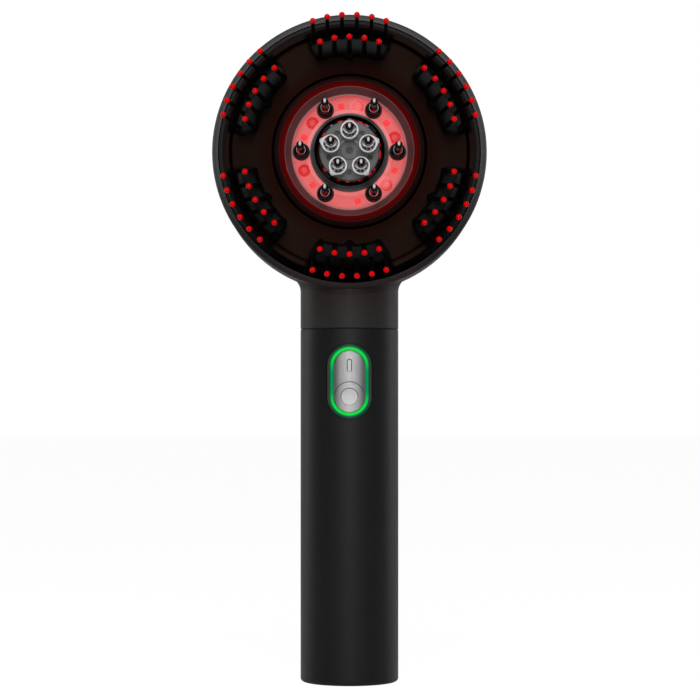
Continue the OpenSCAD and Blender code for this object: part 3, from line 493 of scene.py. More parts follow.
def guide_ears(paint):
    """A blunt ear on the outer side of each clear guide: the space between the guide's circle and the two
    lines that run from it to a small circle further out, as a thin plate with bevelled edges."""
    turn = np.radians(np.linspace(-44, 44, 33))
    big, small, apart = 2.85, 1.0, 2.75  # the two circles' radii and the distance between their centres
    start_r = 2.87  # the ear begins at this distance from the pin's axis
    slope = np.arccos((big - small) / apart)
    line = big / np.cos(slope - np.abs(turn))
    corner = np.arctan2(small * np.sin(slope), apart + small * np.cos(slope))
    tip = apart * np.cos(turn) + np.sqrt(np.maximum(small**2 - (apart * np.sin(turn)) ** 2, 0))
    outline = np.where(np.abs(turn) < corner, tip, line)[:, None]
    share, forward = np.array([(0, 22.2), (0, 22.9), (0.75, 22.9), (1, 22.75), (1, 22.2)]).T
    reach = start_r + share * (outline - start_r)
    count, ring_mm, first = INNER_PINS
    outwards, sideways = ring_mm + reach * np.cos(turn)[:, None], reach * np.sin(turn)[:, None]
    ears = [along_spoke(outwards, sideways, forward, first + 360 / count * i) for i in range(count)]
    for ear in ears:  # both ends close in a point
        ear[[0, -1]] = ear[[0, -1]].mean(axis=1, keepdims=True)
    piece = add_piece("guide_ears", *bundle(ears), paint, "applicator", smooth=False)


def face_lip(paint):
    """A thin clear lip round the applicator's face, in the dark gap to the collar."""
    profile = [(9.72, 18.2), (9.78, 18.75), (9.92, 18.85), (10.06, 18.75), (10.1, 18.2), (9.72, 18.2)]
    piece = add_piece("face_lip", *bundle([rings(profile, 160)]), paint, "applicator")


def pin_springs(node, pin, body, paint):
    """A coil spring behind each pin, from its seat to the pin's stop collar: round wire whose centre line
    goes round the pin's axis four times at an even climb."""
    wire, coil_r, turns = 0.14 * MM, 0.85 * MM, 4
    front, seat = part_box(node)[0][1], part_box(node)[1][1]
    share = np.linspace(0, 1, 20 * turns + 1)
    size = np.concatenate([[0], np.ones(len(share)), [0]]) * wire
    share = np.concatenate([[0], share, [1]])
    turn = (2 * np.pi * turns * share)[:, None]
    section = np.linspace(0, 2 * np.pi, 10, endpoint=False)
    radius = coil_r + size[:, None] * np.cos(section)
    climb = (seat - wire - (seat - front - 2 * wire) * share)[:, None] - size[:, None] * np.sin(section)
    for i in range(1, sum(name.startswith(f"{pin}_pin_") for name in NODES) + 1):
        middle = np.mean(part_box(f"{pin}_pin_{i}"), axis=0)
        points = np.stack([middle[0] + radius * np.cos(turn), climb, middle[2] + radius * np.sin(turn)], -1)
        spring = add_piece(f"{pin}_spring_{i}", points, grid_faces(*points.shape[:2]), paint, body)
        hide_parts(node)
        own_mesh(spring)


def lens_bead(paint):
    """A polished ring round the lens, with a small lug at each side: the section's radius grows there by a
    bell curve of the angle. It glows with a painted highlight along the lens's edge."""
    turn = np.radians(np.linspace(0, 360, 288, endpoint=False))
    from_side = np.minimum(np.abs(turn), np.minimum(np.abs(turn - np.pi), 2 * np.pi - turn))
    section = np.linspace(0, 2 * np.pi, 12, endpoint=False)
    fat = (0.17 + 0.12 * np.exp(-((from_side / 0.03) ** 2)))[:, None]
    radius, forward = 18.32 + fat * np.cos(section), 15.45 + fat * np.sin(section)
    points = in_head(radius * MM, np.degrees(turn)[:, None], forward * MM)
    faces = grid_faces(len(turn) + 1, len(section)) % (len(turn) * len(section))
    piece = add_piece("lens_bead", points, faces, paint, "massager")


# ---------------------------------------------------------------- finishes


def moulded(name, dark, light, roughness, grain=0.00002, specular=0.5, grain_scale=7000):
    """Moulded plastic: two close shades in soft clouds, a fine grain in the skin and uneven gloss."""
    p = Paint(name, specular_ior_level=specular)
    cloud = p.noise(70, 4)
    skin = p.noise(grain_scale, 2)
    rub = p.noise(240, 5, 0.7)
    p.set(base_color=p.mix(cloud, dark, light), roughness=roughness - 0.05 + 0.1 * rub,
          normal=p.bump(skin, grain))
    return p


def handle_black():
    """Matte soft-touch black: even, very fine grain."""
    dark, light = (0.0030, 0.0030, 0.0031), (0.0050, 0.0050, 0.0051)
    return moulded("matte_black", dark, light, 0.46, 0.000012, 0.2, 9000)


def housing_smoke():
    """Satin brown-black shell: painted light from above makes the upper part of the rim grey and leaves its
    lower part almost black, painted shade makes the seam's lower half black, and the neck is a little warmer
    close to the head."""
    p = Paint("smoky_shell", specular_ior_level=0.16)
    r, height = p.from_axis(), p.axis("Z")
    neck = height.rise(0.114, 0.128) * (1 - height.rise(0.128, 0.150))
    # high: painted light from above on the rim; low: the lower part, left in painted shade
    high, low = height.rise(0.136, 0.172), 1 - height.rise(0.134, 0.150)
    rim = r.rise(0.0400, 0.0410) * (1 - r.rise(0.0455, 0.0460))
    # painted shade: the seam's lower half is black
    seam = low * (1 - r.rise(0.0421, 0.0425))
    base = p.mix(p.noise(60, 4), (0.0145, 0.0134, 0.0134), (0.0200, 0.0185, 0.0185))
    # the rim: grey painted light above, almost black painted shade below
    base = p.mix(rim, base, p.mix(high, (0.0030, 0.0028, 0.0028), (0.046, 0.044, 0.044)))
    base = p.mix(seam, base, (0.0008, 0.0007, 0.0007))
    p.set(base_color=p.mix(neck * 0.6, base, (0.022, 0.0115, 0.0100)),
          roughness=0.45 + 0.08 * p.noise(200, 5), normal=p.bump(p.noise(8000, 2), 0.00001))
    return p


def cover_smoke():
    """Smoky brown-black face with painted light and shade: darker and redder towards the lit ring with a faint
    painted red glow of it, painted shade behind the pads, black painted shade in the groove round the ring and
    in the step below the lip, and a painted highlight on the upper part of the lip's crest with painted shade
    on its lower part."""
    p = Paint("smoky_face", specular_ior_level=0.0, emission_strength=1.0)
    r = p.from_axis()
    low = 1 - p.axis("Z").rise(0.134, 0.158)
    cloud = p.noise(90, 4)
    floor = p.mix(cloud, (0.0108, 0.0050, 0.0036), (0.0168, 0.0088, 0.0070))
    # painted shade on the face behind the pads
    behind_pad = (1 - abs(p.turn_from(6, 30)).rise(0.355, 0.395)) * r.rise(0.0325, 0.0345)
    floor = p.mix(behind_pad, floor, (0.0022, 0.0014, 0.0012))
    # near: towards the lit ring, darker and redder painted shade with a faint painted red glow
    near = 1 - r.rise(0.0255, 0.031)
    # groove and step: black painted shade
    groove = 1 - r.rise(0.0249, 0.0250)
    step = r.band(0.0381, 0.0003, 0.0002) * (1 - low) + 0.7 * low * r.band(0.0376, 0.0003, 0.0004)
    base = p.mix(near, floor, (0.0110, 0.0040, 0.0028))
    # painted highlight along the lip's crest; low: the lip's lower part in black painted shade
    lip = p.mix(r.band(0.0413, 0.0004, 0.0004), (0.0090, 0.0065, 0.0058), (0.023, 0.0215, 0.0215))
    base = p.mix(r.rise(0.0394, 0.0398), base, p.mix(low, lip, (0.0008, 0.0005, 0.0005)))
    p.set(base_color=p.mix((step + groove).clamped(), base, (0.0004, 0.0003, 0.0003)),
          emission_color=p.mix(near * (1 - groove), (0, 0, 0), (0.0012, 0.0001, 0.0001)),
          roughness=0.36 + 0.1 * p.noise(300, 5), normal=p.bump(p.noise(6500, 2), 0.00001))
    return p


def bezel_smoke():
    """Dark red-black ring with a painted red glow of the lit ring, reddest at its inner edge, and black
    painted shade in its groove.
    """
    p = Paint("bezel_skin", specular_ior_level=0.0, emission_strength=1.0)
    r = p.from_axis()
    # near: painted red glow of the lit ring; groove: black painted shade
    near, groove = 1 - r.rise(0.0222, 0.0236), r.rise(0.0240, 0.0242)
    base = p.mix(p.noise(300), (0.011, 0.0045, 0.0045), (0.016, 0.0065, 0.0065))
    glow = p.mix(groove, (0.001, 0.0002, 0.0002), (0, 0, 0))
    p.set(base_color=p.mix(groove, base, (0.0004, 0.0002, 0.0002)),
          emission_color=p.mix(near, glow, (0.018, 0.0002, 0.0001)), roughness=0.3 + 0.1 * p.noise(400))
    return p


def glow_red():
    """Red light guide: brighter in its middle, uneven round the ring."""
    p = Paint("glow_guide", specular_ior_level=0.0, emission_strength=1.0, roughness=0.35)
    core = p.from_axis().band(0.0214, 0.0002, 0.0005)
    patches = p.noise(55, 2)
    dim = p.mix(core, (0.022, 0.0, 0.0), (0.062, 0.0, 0.0))
    p.set(base_color=p.mix(patches, (0.02, 0.0004, 0.0004), (0.03, 0.0006, 0.0006)),
          emission_color=p.mix(patches.rise(0.3, 0.75) * 0.5, dim, (0.085, 0.0003, 0.0002)))
    return p


def reflector_pink():
    """Satin rim of the light cup, glowing with painted light of the lamps, with a painted highlight along its
    inner edge.
    """
    p = Paint("cup_rim", specular_ior_level=0.15, emission_strength=1.0)
    # edge: painted highlight along the cup's inner edge
    edge = p.from_axis().band(0.0184, 0.0001, 0.0004)
    cloud = p.noise(180, 4)
    glow = p.mix(cloud, (0.044, 0.0110, 0.0118), (0.054, 0.0165, 0.0172))
    p.set(base_color=p.mix(cloud, (0.02, 0.01, 0.01), (0.032, 0.017, 0.017)),
          emission_color=p.mix(edge, glow, (0.085, 0.04, 0.04)), roughness=0.38,
          normal=p.bump(p.noise(3000), 0.00002))
    return p


def lens_clear():
    """Clear cover over the lamps with a faint pink veil of painted glow and two brighter patches of painted
    glow.
    """
    p = Paint("lens_skin", base_color=(0.3, 0.02, 0.02), specular_ior_level=0.2, emission_strength=1.0,
              ior=1.45)
    x, z = p.axis("X"), p.axis("Z") - HEAD_Z
    # two brighter patches of painted pink glow
    glow_patches = 0
    for across_mm, up_mm in ((2.1, 14.7), (10.9, -9.6)):
        u, v = x - across_mm * MM, z - up_mm * MM
        glow_patches = glow_patches + (1 - ((u * u + v * v) ** 0.5).rise(0.0012, 0.0036)) * (0.6 + 0.8 * p.noise(900, 2))
    # painted pink glow of the lamps in the lens
    veil = p.mix(p.noise(260), (0.34, 0.015, 0.015), (0.46, 0.035, 0.035))
    p.set(alpha=0.09 + 0.06 * p.noise(500) + 0.26 * glow_patches,
          emission_color=p.mix(glow_patches.clamped(), veil, (0.72, 0.17, 0.17)),
          roughness=0.12 + 0.06 * p.noise(900))
    return p


def board_light(p):
    """Pink light of the lamp board, redder at the rim, with fine speckle and tracks."""
    outer = p.from_axis().rise(0.0168, 0.0192)
    speckle = p.noise(2600, 2).rise(0.56, 0.66)
    tracks = p.noise(700, 1, stretch=(1, 1, 6)).rise(0.58, 0.62)
    base = p.mix(p.noise(190, 4), (0.66, 0.115, 0.115), (0.76, 0.155, 0.155))
    base = p.mix(speckle * 0.2, base, (0.82, 0.27, 0.27))
    base = p.mix(tracks * 0.12, base, (0.5, 0.07, 0.07))
    return p.mix(outer, base, (0.46, 0.055, 0.055))


def lamp_board():
    """The lit board behind the lens."""
    p = Paint("lit_board", base_color=(0.1, 0.03, 0.03), specular_ior_level=0.3, emission_strength=1.0,
              roughness=0.5)
    return p.set(emission_color=board_light(p))


def lit(name, dark, light, scale=900):
    """A glowing moulding whose light wavers between two shades."""
    p = Paint(name, specular_ior_level=0.15, emission_strength=1.0, roughness=0.3)
    body = tuple(0.1 * part for part in dark)
    return p.set(base_color=body, emission_color=p.mix(p.noise(scale), dark, light))


def collar_grey():
    """Dark grey collar, with black painted shade in its bore; its shoulder under the lens glows with painted
    light of the board.
    """
    p = Paint("collar_skin", specular_ior_level=0.0, emission_strength=1.0)
    r = p.from_axis()
    # painted shade: black in the bore
    bore = 1 - r.rise(0.01125, 0.01135)
    cloud = p.noise(300, 4)
    skin = p.mix(cloud, (0.075, 0.085, 0.086), (0.105, 0.116, 0.117))
    skin = p.mix(r.rise(0.0117, 0.0125), skin, p.mix(cloud, (0.170, 0.188, 0.188), (0.220, 0.240, 0.240)))
    p.set(base_color=p.mix(bore, skin, (0.0006, 0.0005, 0.0005)),
          emission_color=p.mix(r.rise(0.01266, 0.01278), (0, 0, 0), board_light(p)),
          roughness=0.4 + 0.1 * p.noise(500), normal=p.bump(p.noise(5000), 0.00001))
    return p


def gap_glint():
    """Black lip with painted broken red glints of the light round it and a painted white glint at each side of
    its top.
    """
    p = Paint("lip_glint", base_color=(0.001, 0.0008, 0.0008), specular_ior_level=0.1,
              emission_strength=1.0, roughness=0.3)
    dashes = p.noise(520, 1).rise(0.56, 0.62)
    # two painted white highlights at the sides of the lip's top
    x, z = abs(p.axis("X")) - 0.0059, p.axis("Z") - HEAD_Z - 0.0083
    painted_glint = 1 - ((x * x + z * z) ** 0.5).rise(0.0002, 0.0007)
    glow = p.mix(dashes, (0.006, 0.0002, 0.0002), (0.7, 0.006, 0.01))
    return p.set(emission_color=p.mix(painted_glint, glow, (0.3, 0.33, 0.32)))


def metal(name, dark, light, roughness, scale=4000, stretch=None):
    """Plated or satin metal: fine grain in colour, gloss and relief."""
    p = Paint(name, metallic=1.0)
    grain = p.noise(scale, 3, stretch=stretch)
    return p.set(base_color=p.mix(grain, dark, light), roughness=roughness - 0.04 + 0.08 * grain,
                 normal=p.bump(grain, 0.000004))


def satin_silver(name, line, dish=None):
    """Blasted silver of the switch: a fine sparkle, with painted shade darkening it towards the track's sides.
    line gives the share of dark painted shade along engraved edges at each point and dish that of the matt
    finger dish."""
    p = Paint(name, metallic=1.0)
    grain = p.noise(5200, 3, 0.7)
    # painted shade towards the track's sides
    side = abs(p.axis("X")).rise(0.0024, 0.0054)
    skin = p.mix(side, p.mix(grain, (0.27, 0.27, 0.273), (0.38, 0.38, 0.385)), (0.13, 0.13, 0.132))
    matt = dish(p) if dish else 0.0
    if dish:
        skin = p.mix(matt, skin, (0.60, 0.60, 0.605))
    p.set(base_color=p.mix(line(p), skin, (0.05, 0.05, 0.05)), roughness=0.36 + 0.12 * grain + 0.35 * matt,
          normal=p.bump(grain, 0.000018))
    return p


def from_knob(p):
    """Distance from the middle of the knob when it is down, and height above that middle."""
    x, z = p.axis("X"), p.axis("Z") - (SWITCH_Z - TRACK_HALF)
    return (x * x + z * z) ** 0.5, z


def mark_line(p):
    """Painted shade along the engraved I, a thin outline open at its lower end, and in the ring that the knob
    covers when it is down."""
    # painted shade in the engraving's outline, fading towards its lower end
    outline = p.from_slot(MARK_Z, 1.3 * MM).band(0.00070, 0.00007, 0.00016)
    ring = from_knob(p)[0].band(0.00195, 0.00030, 0.00010)
    return (0.95 * outline * p.axis("Z").rise(0.1006, 0.1016) + 0.8 * ring).clamped()


def knob_lines(p):
    """Painted shade along the knob's upper rim and in the ring round its dish, which fades towards the bottom.
    """
    r, up = from_knob(p)
    # painted shade along the upper rim and round the dish
    rim = 0.7 * r.rise(0.00452, 0.00468) * up.rise(0.0, 0.0018)
    ring = r.band(0.00272, 0.00006, 0.00015) * (0.45 + 0.4 * up.rise(-0.0015, 0.0008))
    return (rim + ring).clamped()


def knob_dish(p):
    return 1 - from_knob(p)[0].rise(0.0026, 0.0029)


def board_mask():
    """Green boards, with a painted silver-grey glow where the switch's side slots look down on them."""
    p = Paint("board_green", emission_strength=1.0, specular_ior_level=0.4)
    cloud = p.noise(900, 4)
    x, z = abs(p.axis("X")), abs(p.axis("Z") - SWITCH_Z)
    # painted silver-grey light under the switch's side slots
    slot_light = x.band(0.0047, 0.0004, 0.0001) * z.band(0, 0.0062, 0.0001)
    silver = p.mix(cloud, (0.06, 0.063, 0.063), (0.085, 0.088, 0.088))
    p.set(base_color=p.mix(cloud, (0.01, 0.08, 0.025), (0.02, 0.13, 0.04)), roughness=0.3 + 0.1 * cloud,
          emission_color=p.mix(slot_light, (0, 0, 0), silver))
    return p


def ring_green():
    """Green light ring: brightest along its core and round the two ends, deeper along the straight sides."""
    p = Paint("green_ring", base_color=(0.0, 0.03, 0.01), specular_ior_level=0.1, emission_strength=1.0,
              roughness=0.35)
    end = abs(p.axis("Z") - SWITCH_Z).rise(0.0025, 0.0085)
    core = p.from_slot(SWITCH_Z, TRACK_HALF).band(0.00565, 0.0002, 0.0004)
    light = p.mix(end, (0.0, 0.225, 0.080), (0.0, 0.74, 0.040))
    edge = p.mix(end, (0.0, 0.075, 0.040), (0.0, 0.24, 0.040))
    light = p.mix(p.noise(1500) * 0.2, light, (0.0, 0.45, 0.06))
    return p.set(emission_color=p.mix(core, edge, light))


def bezel_green():
    """Dark smoky surround of the switch: grey-green, greener at the ends where the ring shines into it, black
    outside."""
    p = Paint("switch_surround", specular_ior_level=0.1, emission_strength=1.0)
    away = p.from_slot(SWITCH_Z, TRACK_HALF)
    end = abs(p.axis("Z") - SWITCH_Z).rise(0.004, 0.011)
    outer, rim = end * away.rise(0.0064, 0.0067), away.rise(0.00705, 0.0072)
    cloud = p.noise(800, 3)
    base = p.mix(cloud, (0.018, 0.023, 0.020), (0.028, 0.035, 0.031))
    glow = p.mix(end, (0.008, 0.018, 0.013), (0.0, 0.078, 0.036))
    base = p.mix(outer, base, (0.004, 0.008, 0.006))
    glow = p.mix(outer, glow, (0.0, 0.040, 0.020))
    p.set(base_color=p.mix(rim, base, (0.002, 0.002, 0.002)), emission_color=p.mix(rim, glow, (0, 0, 0)),
          roughness=0.28 + 0.1 * cloud)
    return p


def silicone():
    """Soft silicone, black on the walls and teeth; painted light makes the tops of the pads satin grey,
    strongest on the upper pads and fading downwards."""
    p = Paint("soft_silicone", specular_ior_level=0.04)
    skin = p.noise(2600, 3)
    r = p.from_axis()
    on_block = (-1 * p.axis("Y")).rise(0.0246, 0.0245)  # 1 up to the blocks' tops, 0 on the teeth
    # top: painted light on the blocks' tops
    top = r.rise(0.0307, 0.0335) * (1 - r.rise(0.0348, 0.0354)) * on_block
    # high: the painted light grows towards the upper pads
    high = p.axis("Z").rise(HEAD_Z - 0.036, HEAD_Z + 0.03)
    black = p.mix(p.noise(150, 4), (0.0008, 0.0006, 0.0006), (0.0016, 0.0013, 0.0013))
    grey = p.mix(p.noise(200, 4), (0.0085, 0.0081, 0.0081), (0.0130, 0.0125, 0.0125))
    p.set(base_color=p.mix(top * (0.12 + 0.88 * high), black, grey),
          roughness=0.42 + 0.12 * skin, normal=p.bump(skin, 0.00002))
    return p


def tip_red():
    """Red silicone balls: glossy, a little light in them."""
    p = Paint("red_ball", specular_ior_level=0.06, emission_strength=1.0)
    p.set(base_color=p.mix(p.noise(900), (0.49, 0.0, 0.0), (0.62, 0.0, 0.001)),
          emission_color=p.mix(p.noise(700), (0.015, 0.0, 0.0), (0.035, 0.0, 0.0)),
          roughness=0.26 + 0.06 * p.noise(1500))
    return p


def clear_sleeve():
    """Clear guides of the inner pins, with a faint painted glow: rims with a painted highlight, bright ears
    with painted shade on the top one, nine dark openings with bright spokes between them, a thin arc of
    painted highlight, and a painted dark reflection of the pin round its ball with a painted trace of red in
    it."""
    p = Paint("clear_guide", specular_ior_level=0.5, emission_strength=1.0, ior=1.45)
    across, up, _ = p.from_pin(*INNER_PINS)
    front, drop = 0.02302, 0.117  # the guides' front, and how far a point looks lowered per depth
    up = up - drop * (front + p.axis("Y"))
    d = (across * across + up * up) ** 0.5
    from_ball = (across * across + (up - 0.00095) ** 2) ** 0.5
    # painted reflection: the pin's own dark mirror image round its ball
    mirror = 1 - from_ball.rise(0.00162, 0.00176)
    nearest = p.turn() - p.turn_from(INNER_PINS[0], INNER_PINS[2])
    inwards = d.maths("ARCTAN2", up, across) - nearest + np.pi  # angle round the pin from the head's middle
    openings = (inwards * 9).maths("COSINE", inwards * 9).rise(-0.75, -0.2)
    # rim: painted highlight along the guide's edges
    rim, ear = d.rise(0.00238, 0.00248), d.rise(0.00290, 0.00305)
    # arc: a thin arc of painted highlight
    arc = from_ball.band(0.00198, 0.00006, 0.00011) * (1 - up.rise(-0.0006, 0.0006))
    slit = d.band(0.00182, 0.00034, 0.00010) * openings * from_ball.rise(0.00212, 0.00224)
    # trace: a painted trace of red in the pin's reflection
    trace = from_ball.band(0.00156, 0.00004, 0.00008) * p.noise(1100, 1).rise(0.42, 0.55)
    # top_ear: painted shade on the top guide's ear
    top_ear = p.axis("Z").rise(HEAD_Z + 0.0088, HEAD_Z + 0.0094)
    cloud = p.noise(900, 3)
    web = p.mix(slit, p.mix(cloud, (0.17, 0.17, 0.175), (0.28, 0.28, 0.285)), (0.004, 0.003, 0.004))
    bright = p.mix(cloud, (0.42, 0.42, 0.44), (0.56, 0.56, 0.58))
    ear_skin = p.mix(cloud, (0.30, 0.315, 0.32), (0.40, 0.415, 0.42))
    bright = p.mix(ear, bright, p.mix(top_ear, ear_skin, (0.03, 0.03, 0.03)))
    base = p.mix((rim + arc).clamped(), web, bright)
    # glow: a faint painted glow in the guide, stronger along the arc and the rims
    glow = p.mix(arc, p.mix(slit, (0.015, 0.015, 0.015), (0, 0, 0)), (0.14, 0.14, 0.15))
    glow = p.mix(rim * (1 - ear), glow, (0.04, 0.04, 0.044))
    p.set(base_color=p.mix(mirror, base, (0.004, 0.002, 0.002)), alpha=0.9 + 0.1 * rim,
          emission_color=p.mix(mirror, glow, p.mix(trace, (0.003, 0.0, 0.0), (0.17, 0.01, 0.015))),
          roughness=0.2 + 0.1 * cloud)
    return p


def sleeve_dark():
    """Glossy black guides of the outer pins: grey at the edge, with a painted red glint low round the bore and
    painted red glints in it."""
    p = Paint("dark_guide", specular_ior_level=0.0, emission_strength=1.0)
    _, up, d = p.from_pin(*OUTER_PINS)
    glint = (1 - d.rise(0.00118, 0.00126)) * p.noise(700, 1).rise(0.46, 0.58)
    low = 1 - up.rise(-0.0016, -0.0008)
    # a painted red glint low round the bore
    low_glint = d.band(0.00188, 0.00008, 0.00012) * low * p.noise(1300, 1).rise(0.42, 0.56)
    edge = d.rise(0.00222, 0.00242)
    wall = p.mix(p.noise(1200), (0.009, 0.0085, 0.0085), (0.016, 0.0155, 0.0155))
    p.set(base_color=p.mix(edge, wall, (0.044, 0.047, 0.047)),
          emission_color=p.mix(glint, p.mix(low_glint, (0, 0, 0), (0.13, 0.002, 0.003)), (0.36, 0.012, 0.016)),
          roughness=0.24 + 0.1 * p.noise(1600))
    return p


def ferrule():
    """Plated ferrule: a polished outer edge round a dark seat."""
    p = Paint("ferrule_silver", metallic=1.0)
    rim = p.from_pin(*OUTER_PINS)[2].band(0.00144, 0.00003, 0.00006)
    silver = p.mix(p.noise(2000), (0.48, 0.50, 0.49), (0.62, 0.64, 0.63))
    p.set(base_color=p.mix(rim, (0.012, 0.011, 0.011), silver), roughness=0.42 + 0.1 * p.noise(3000))
    return p


def black_chrome():
    """Black chrome of the pins: dark all round, with one long bright glint down the front of each ball."""
    p = Paint("black_chrome", metallic=1.0, emission_strength=1.0)
    forward = -1 * p.axis("Y")
    glint = 0
    for pins, start, end in ((INNER_PINS, 0.0300, 0.0330), (OUTER_PINS, 0.0354, 0.0390)):
        across, up, _ = p.from_pin(*pins)
        wide, tall = across / 0.00052, (up - 0.00040) / 0.00095
        on_ball = forward.rise(start, start + 0.0004) * forward.maths("LESS_THAN", forward, end)
        glint = glint + (1 - (wide * wide + tall * tall).rise(0.15, 1.0)) * on_ball
    grain = p.noise(2600, 3)
    light = p.mix(grain, (0.40, 0.42, 0.42), (0.62, 0.63, 0.62))
    return p.set(base_color=p.mix(grain, (0.008, 0.0085, 0.0085), (0.018, 0.019, 0.019)),
                 roughness=0.12 + 0.06 * grain, emission_color=p.mix(glint, (0, 0, 0), light))


def plate_grey():
    """Satin grey face of the applicator, with soft mottling: painted shade darkens the middle of its disc and
    the dimples between the guides, and a painted highlight lies as an arc at each side of the upper guide."""
    p = Paint("face_grey", specular_ior_level=0.2)
    cloud = p.noise(700, 5, 0.65)
    r = p.from_axis()
    # painted shade in the middle dimple and in the dimples between the guides
    middle = 1 - r.rise(0.0009, 0.0012)
    dimple = 1 - p.from_pin(5, 6.85, 126)[2].rise(0.0004, 0.0009)
    upright = p.turn() - np.pi / 2
    # arc: painted highlight at each side of the upper guide
    arc = r.band(0.00360, 0.00006, 0.00012) * (1 - abs(abs(upright) - 0.65).rise(0.12, 0.22))
    base = p.mix(cloud, (0.085, 0.084, 0.085), (0.145, 0.143, 0.145))
    base = p.mix((middle + dimple).clamped() * 0.65, base, (0.024, 0.024, 0.025))
    p.set(base_color=p.mix(arc * 0.7, base, (0.45, 0.45, 0.46)), roughness=0.42 + 0.12 * cloud,
          normal=p.bump(p.noise(4200, 3), 0.00002))
    return p


def paint_nodes(paints):
    """Gives each solid its finish."""
    for node, solid in NODES.items():
        slot = next(part["material_slot"] for part in frame["record"]["subparts"] if part["node"] == node)
        for place in solid.material_slots:
            place.material = paints[slot].material


# ---------------------------------------------------------------- stage


def add_stage():
    """White backdrop behind the object and a dim room before it; a pale floor that keeps a faint shadow."""
    bpy.context.scene.view_settings.view_transform = "Standard"
    world = bpy.data.worlds.new("white_room")
    bpy.context.scene.world = world
    world.use_nodes = True
    room = Nodes(world.node_tree)
    towards = room.node("ShaderNodeTexCoord", output="Generated")
    behind = room.node("ShaderNodeSeparateXYZ", None, {0: towards}, "Y").rise(0.45, 0.9)
    seen, mirrored = room.rays("Camera"), room.rays("Glossy", "Transmission")
    around = ROOM_LIGHT + (1 - ROOM_LIGHT) * behind * (0.4 + 0.4 * mirrored)
    strength = seen + (1 - seen) * around
    shine = room.node("ShaderNodeBackground", None, {"Color": (1, 1, 1), "Strength": strength})
    room.node("ShaderNodeOutputWorld", None, {"Surface": shine})

    ground = Paint("pale_floor", base_color=(0.85, 0.85, 0.85), roughness=0.8, specular_ior_level=0.2)
    glow = ground.node("ShaderNodeEmission", None, {"Color": (1, 1, 1), "Strength": 1.04})
    lit_share = 0.93 * (ground.rays("Camera") + 0.2 * ground.rays("Glossy", "Transmission")).clamped()
    own = Value(ground, ground.shader.outputs[0])
    mixed = ground.node("ShaderNodeMixShader", None, {0: lit_share, 1: own, 2: glow})
    ground.feed(ground.out.inputs["Surface"], mixed)
    mesh = bpy.data.meshes.new("floor")
    reach = 6.0
    corners = [(-reach, -reach, 0), (reach, -reach, 0), (reach, reach, 0), (-reach, reach, 0)]
    mesh.from_pydata(corners, [], [(0, 1, 2, 3)])
    mesh.materials.append(ground.material)
    floor = bpy.data.objects.new("floor", mesh)
    bpy.context.scene.collection.objects.link(floor)
    floor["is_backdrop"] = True


def add_lights():
    """A large key lamp above the camera, a narrow strip for the grip and two strips that edge its sides."""
    add_softbox("key", (0.0, -0.95, 0.87), (0, 0, 0.17), (0.95, 1.05), KEY_WATTS)
    add_softbox("front_strip", (0.0, -1.2, 0.35), (0, 0, 0.12), (0.2, 0.9), STRIP_WATTS)
    add_softbox("left_edge", (-0.65, 0.3, 0.15), (0, 0, 0.12), (0.2, 0.9), EDGE_WATTS)
    add_softbox("right_edge", (0.65, 0.3, 0.15), (0, 0, 0.12), (0.2, 0.9), EDGE_WATTS)


# ---------------------------------------------------------------- all together

add_camera()
add_stage()
add_lights()

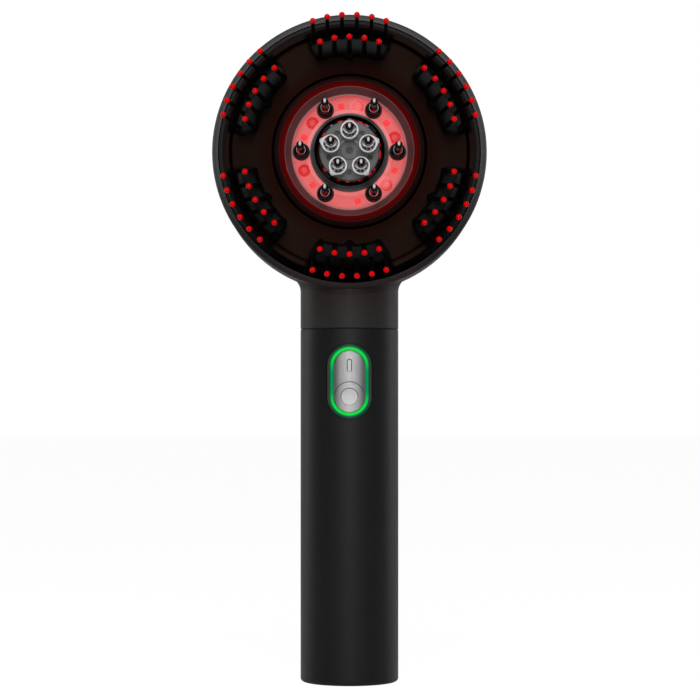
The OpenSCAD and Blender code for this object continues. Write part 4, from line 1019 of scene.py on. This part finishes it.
steel = metal("dull_steel", (0.35, 0.35, 0.36), (0.5, 0.5, 0.5), 0.35)
paints = {
    "handle_black": handle_black(),
    "housing_smoke": housing_smoke(),
    "cover_smoke": cover_smoke(),
    "bezel_smoke": bezel_smoke(),
    "glow_red": glow_red(),
    "reflector_pink": reflector_pink(),
    "lens_pink": lens_clear(),
    "board_white": lamp_board(),
    "led_glass": lit("lamp_glass", (0.55, 0.03, 0.03), (0.75, 0.1, 0.1)),
    "collar_grey": collar_grey(),
    "sleeve_dark": sleeve_dark(),
    "ferrule_silver": ferrule(),
    "spring_steel": metal("spring_wire", (0.4, 0.4, 0.42), (0.6, 0.6, 0.62), 0.25),
    "silicone_black": silicone(),
    "tips_red": tip_red(),
    "pin_chrome": black_chrome(),
    "plate_grey": plate_grey(),
    "sleeve_clear": clear_sleeve(),
    "cup_grey": moulded("cup_grey", (0.003, 0.003, 0.003), (0.006, 0.006, 0.006), 0.4, specular=0.1),
    "seal_rubber": moulded("seal_rubber", (0.015, 0.014, 0.014), (0.03, 0.028, 0.028), 0.6),
    "switch_bezel_green": bezel_green(),
    "ring_green": ring_green(),
    "track_silver": satin_silver("track_silver", mark_line),
    "knob_silver": satin_silver("knob_silver", knob_lines, knob_dish),
    "inner_black": moulded("inner_black", (0.015, 0.015, 0.016), (0.025, 0.025, 0.026), 0.5),
    "switch_steel": steel,
    "led_green": lit("green_lamp", (0.05, 0.085, 0.06), (0.08, 0.12, 0.09)),
    "board_green": board_mask(),
    "socket_steel": metal("socket_steel", (0.45, 0.45, 0.46), (0.6, 0.6, 0.61), 0.25, 6000, (1, 8, 1)),
    "cell_blue": moulded("cell_wrap", (0.02, 0.09, 0.32), (0.04, 0.14, 0.45), 0.3),
    "motor_steel": steel,
    "weight_brass": metal("weight_brass", (0.45, 0.3, 0.1), (0.6, 0.43, 0.17), 0.3),
    "screw_steel": steel,
    "wire_red": moulded("wire_red", (0.35, 0.01, 0.01), (0.55, 0.03, 0.03), 0.4),
}
paint_nodes(paints)

dress_pads(paints["silicone_black"], paints["tips_red"])
lamp_pieces = [
    *round_lamps(
        lit("lamp_ring", (0.56, 0.002, 0.004), (0.72, 0.012, 0.015)),
        lit("lamp_dome", (0.58, 0.035, 0.04), (0.70, 0.115, 0.12)),
    ),
    *square_lamps(
        lit("lamp_package", (0.70, 0.11, 0.11), (0.80, 0.15, 0.15)),
        lit("lamp_die", (1.1, 0.018, 0.022), (1.25, 0.05, 0.055)),
    ),
]
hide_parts("leds")
face_lip(gap_glint())
guide_ears(paints["sleeve_clear"])
pin_springs("pin_springs", "outer", "massager", paints["spring_steel"])
pin_springs("nozzle_springs", "inner", "applicator", paints["spring_steel"])
# the lens ring's glow is a painted highlight, not a lamp
lens_bead(lit("painted_glint", (0.15, 0.08, 0.08), (0.35, 0.2, 0.2), 600))

dressed_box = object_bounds()
[[list(map(float, corner)) for corner in box] for box in (solid_box, dressed_box)]
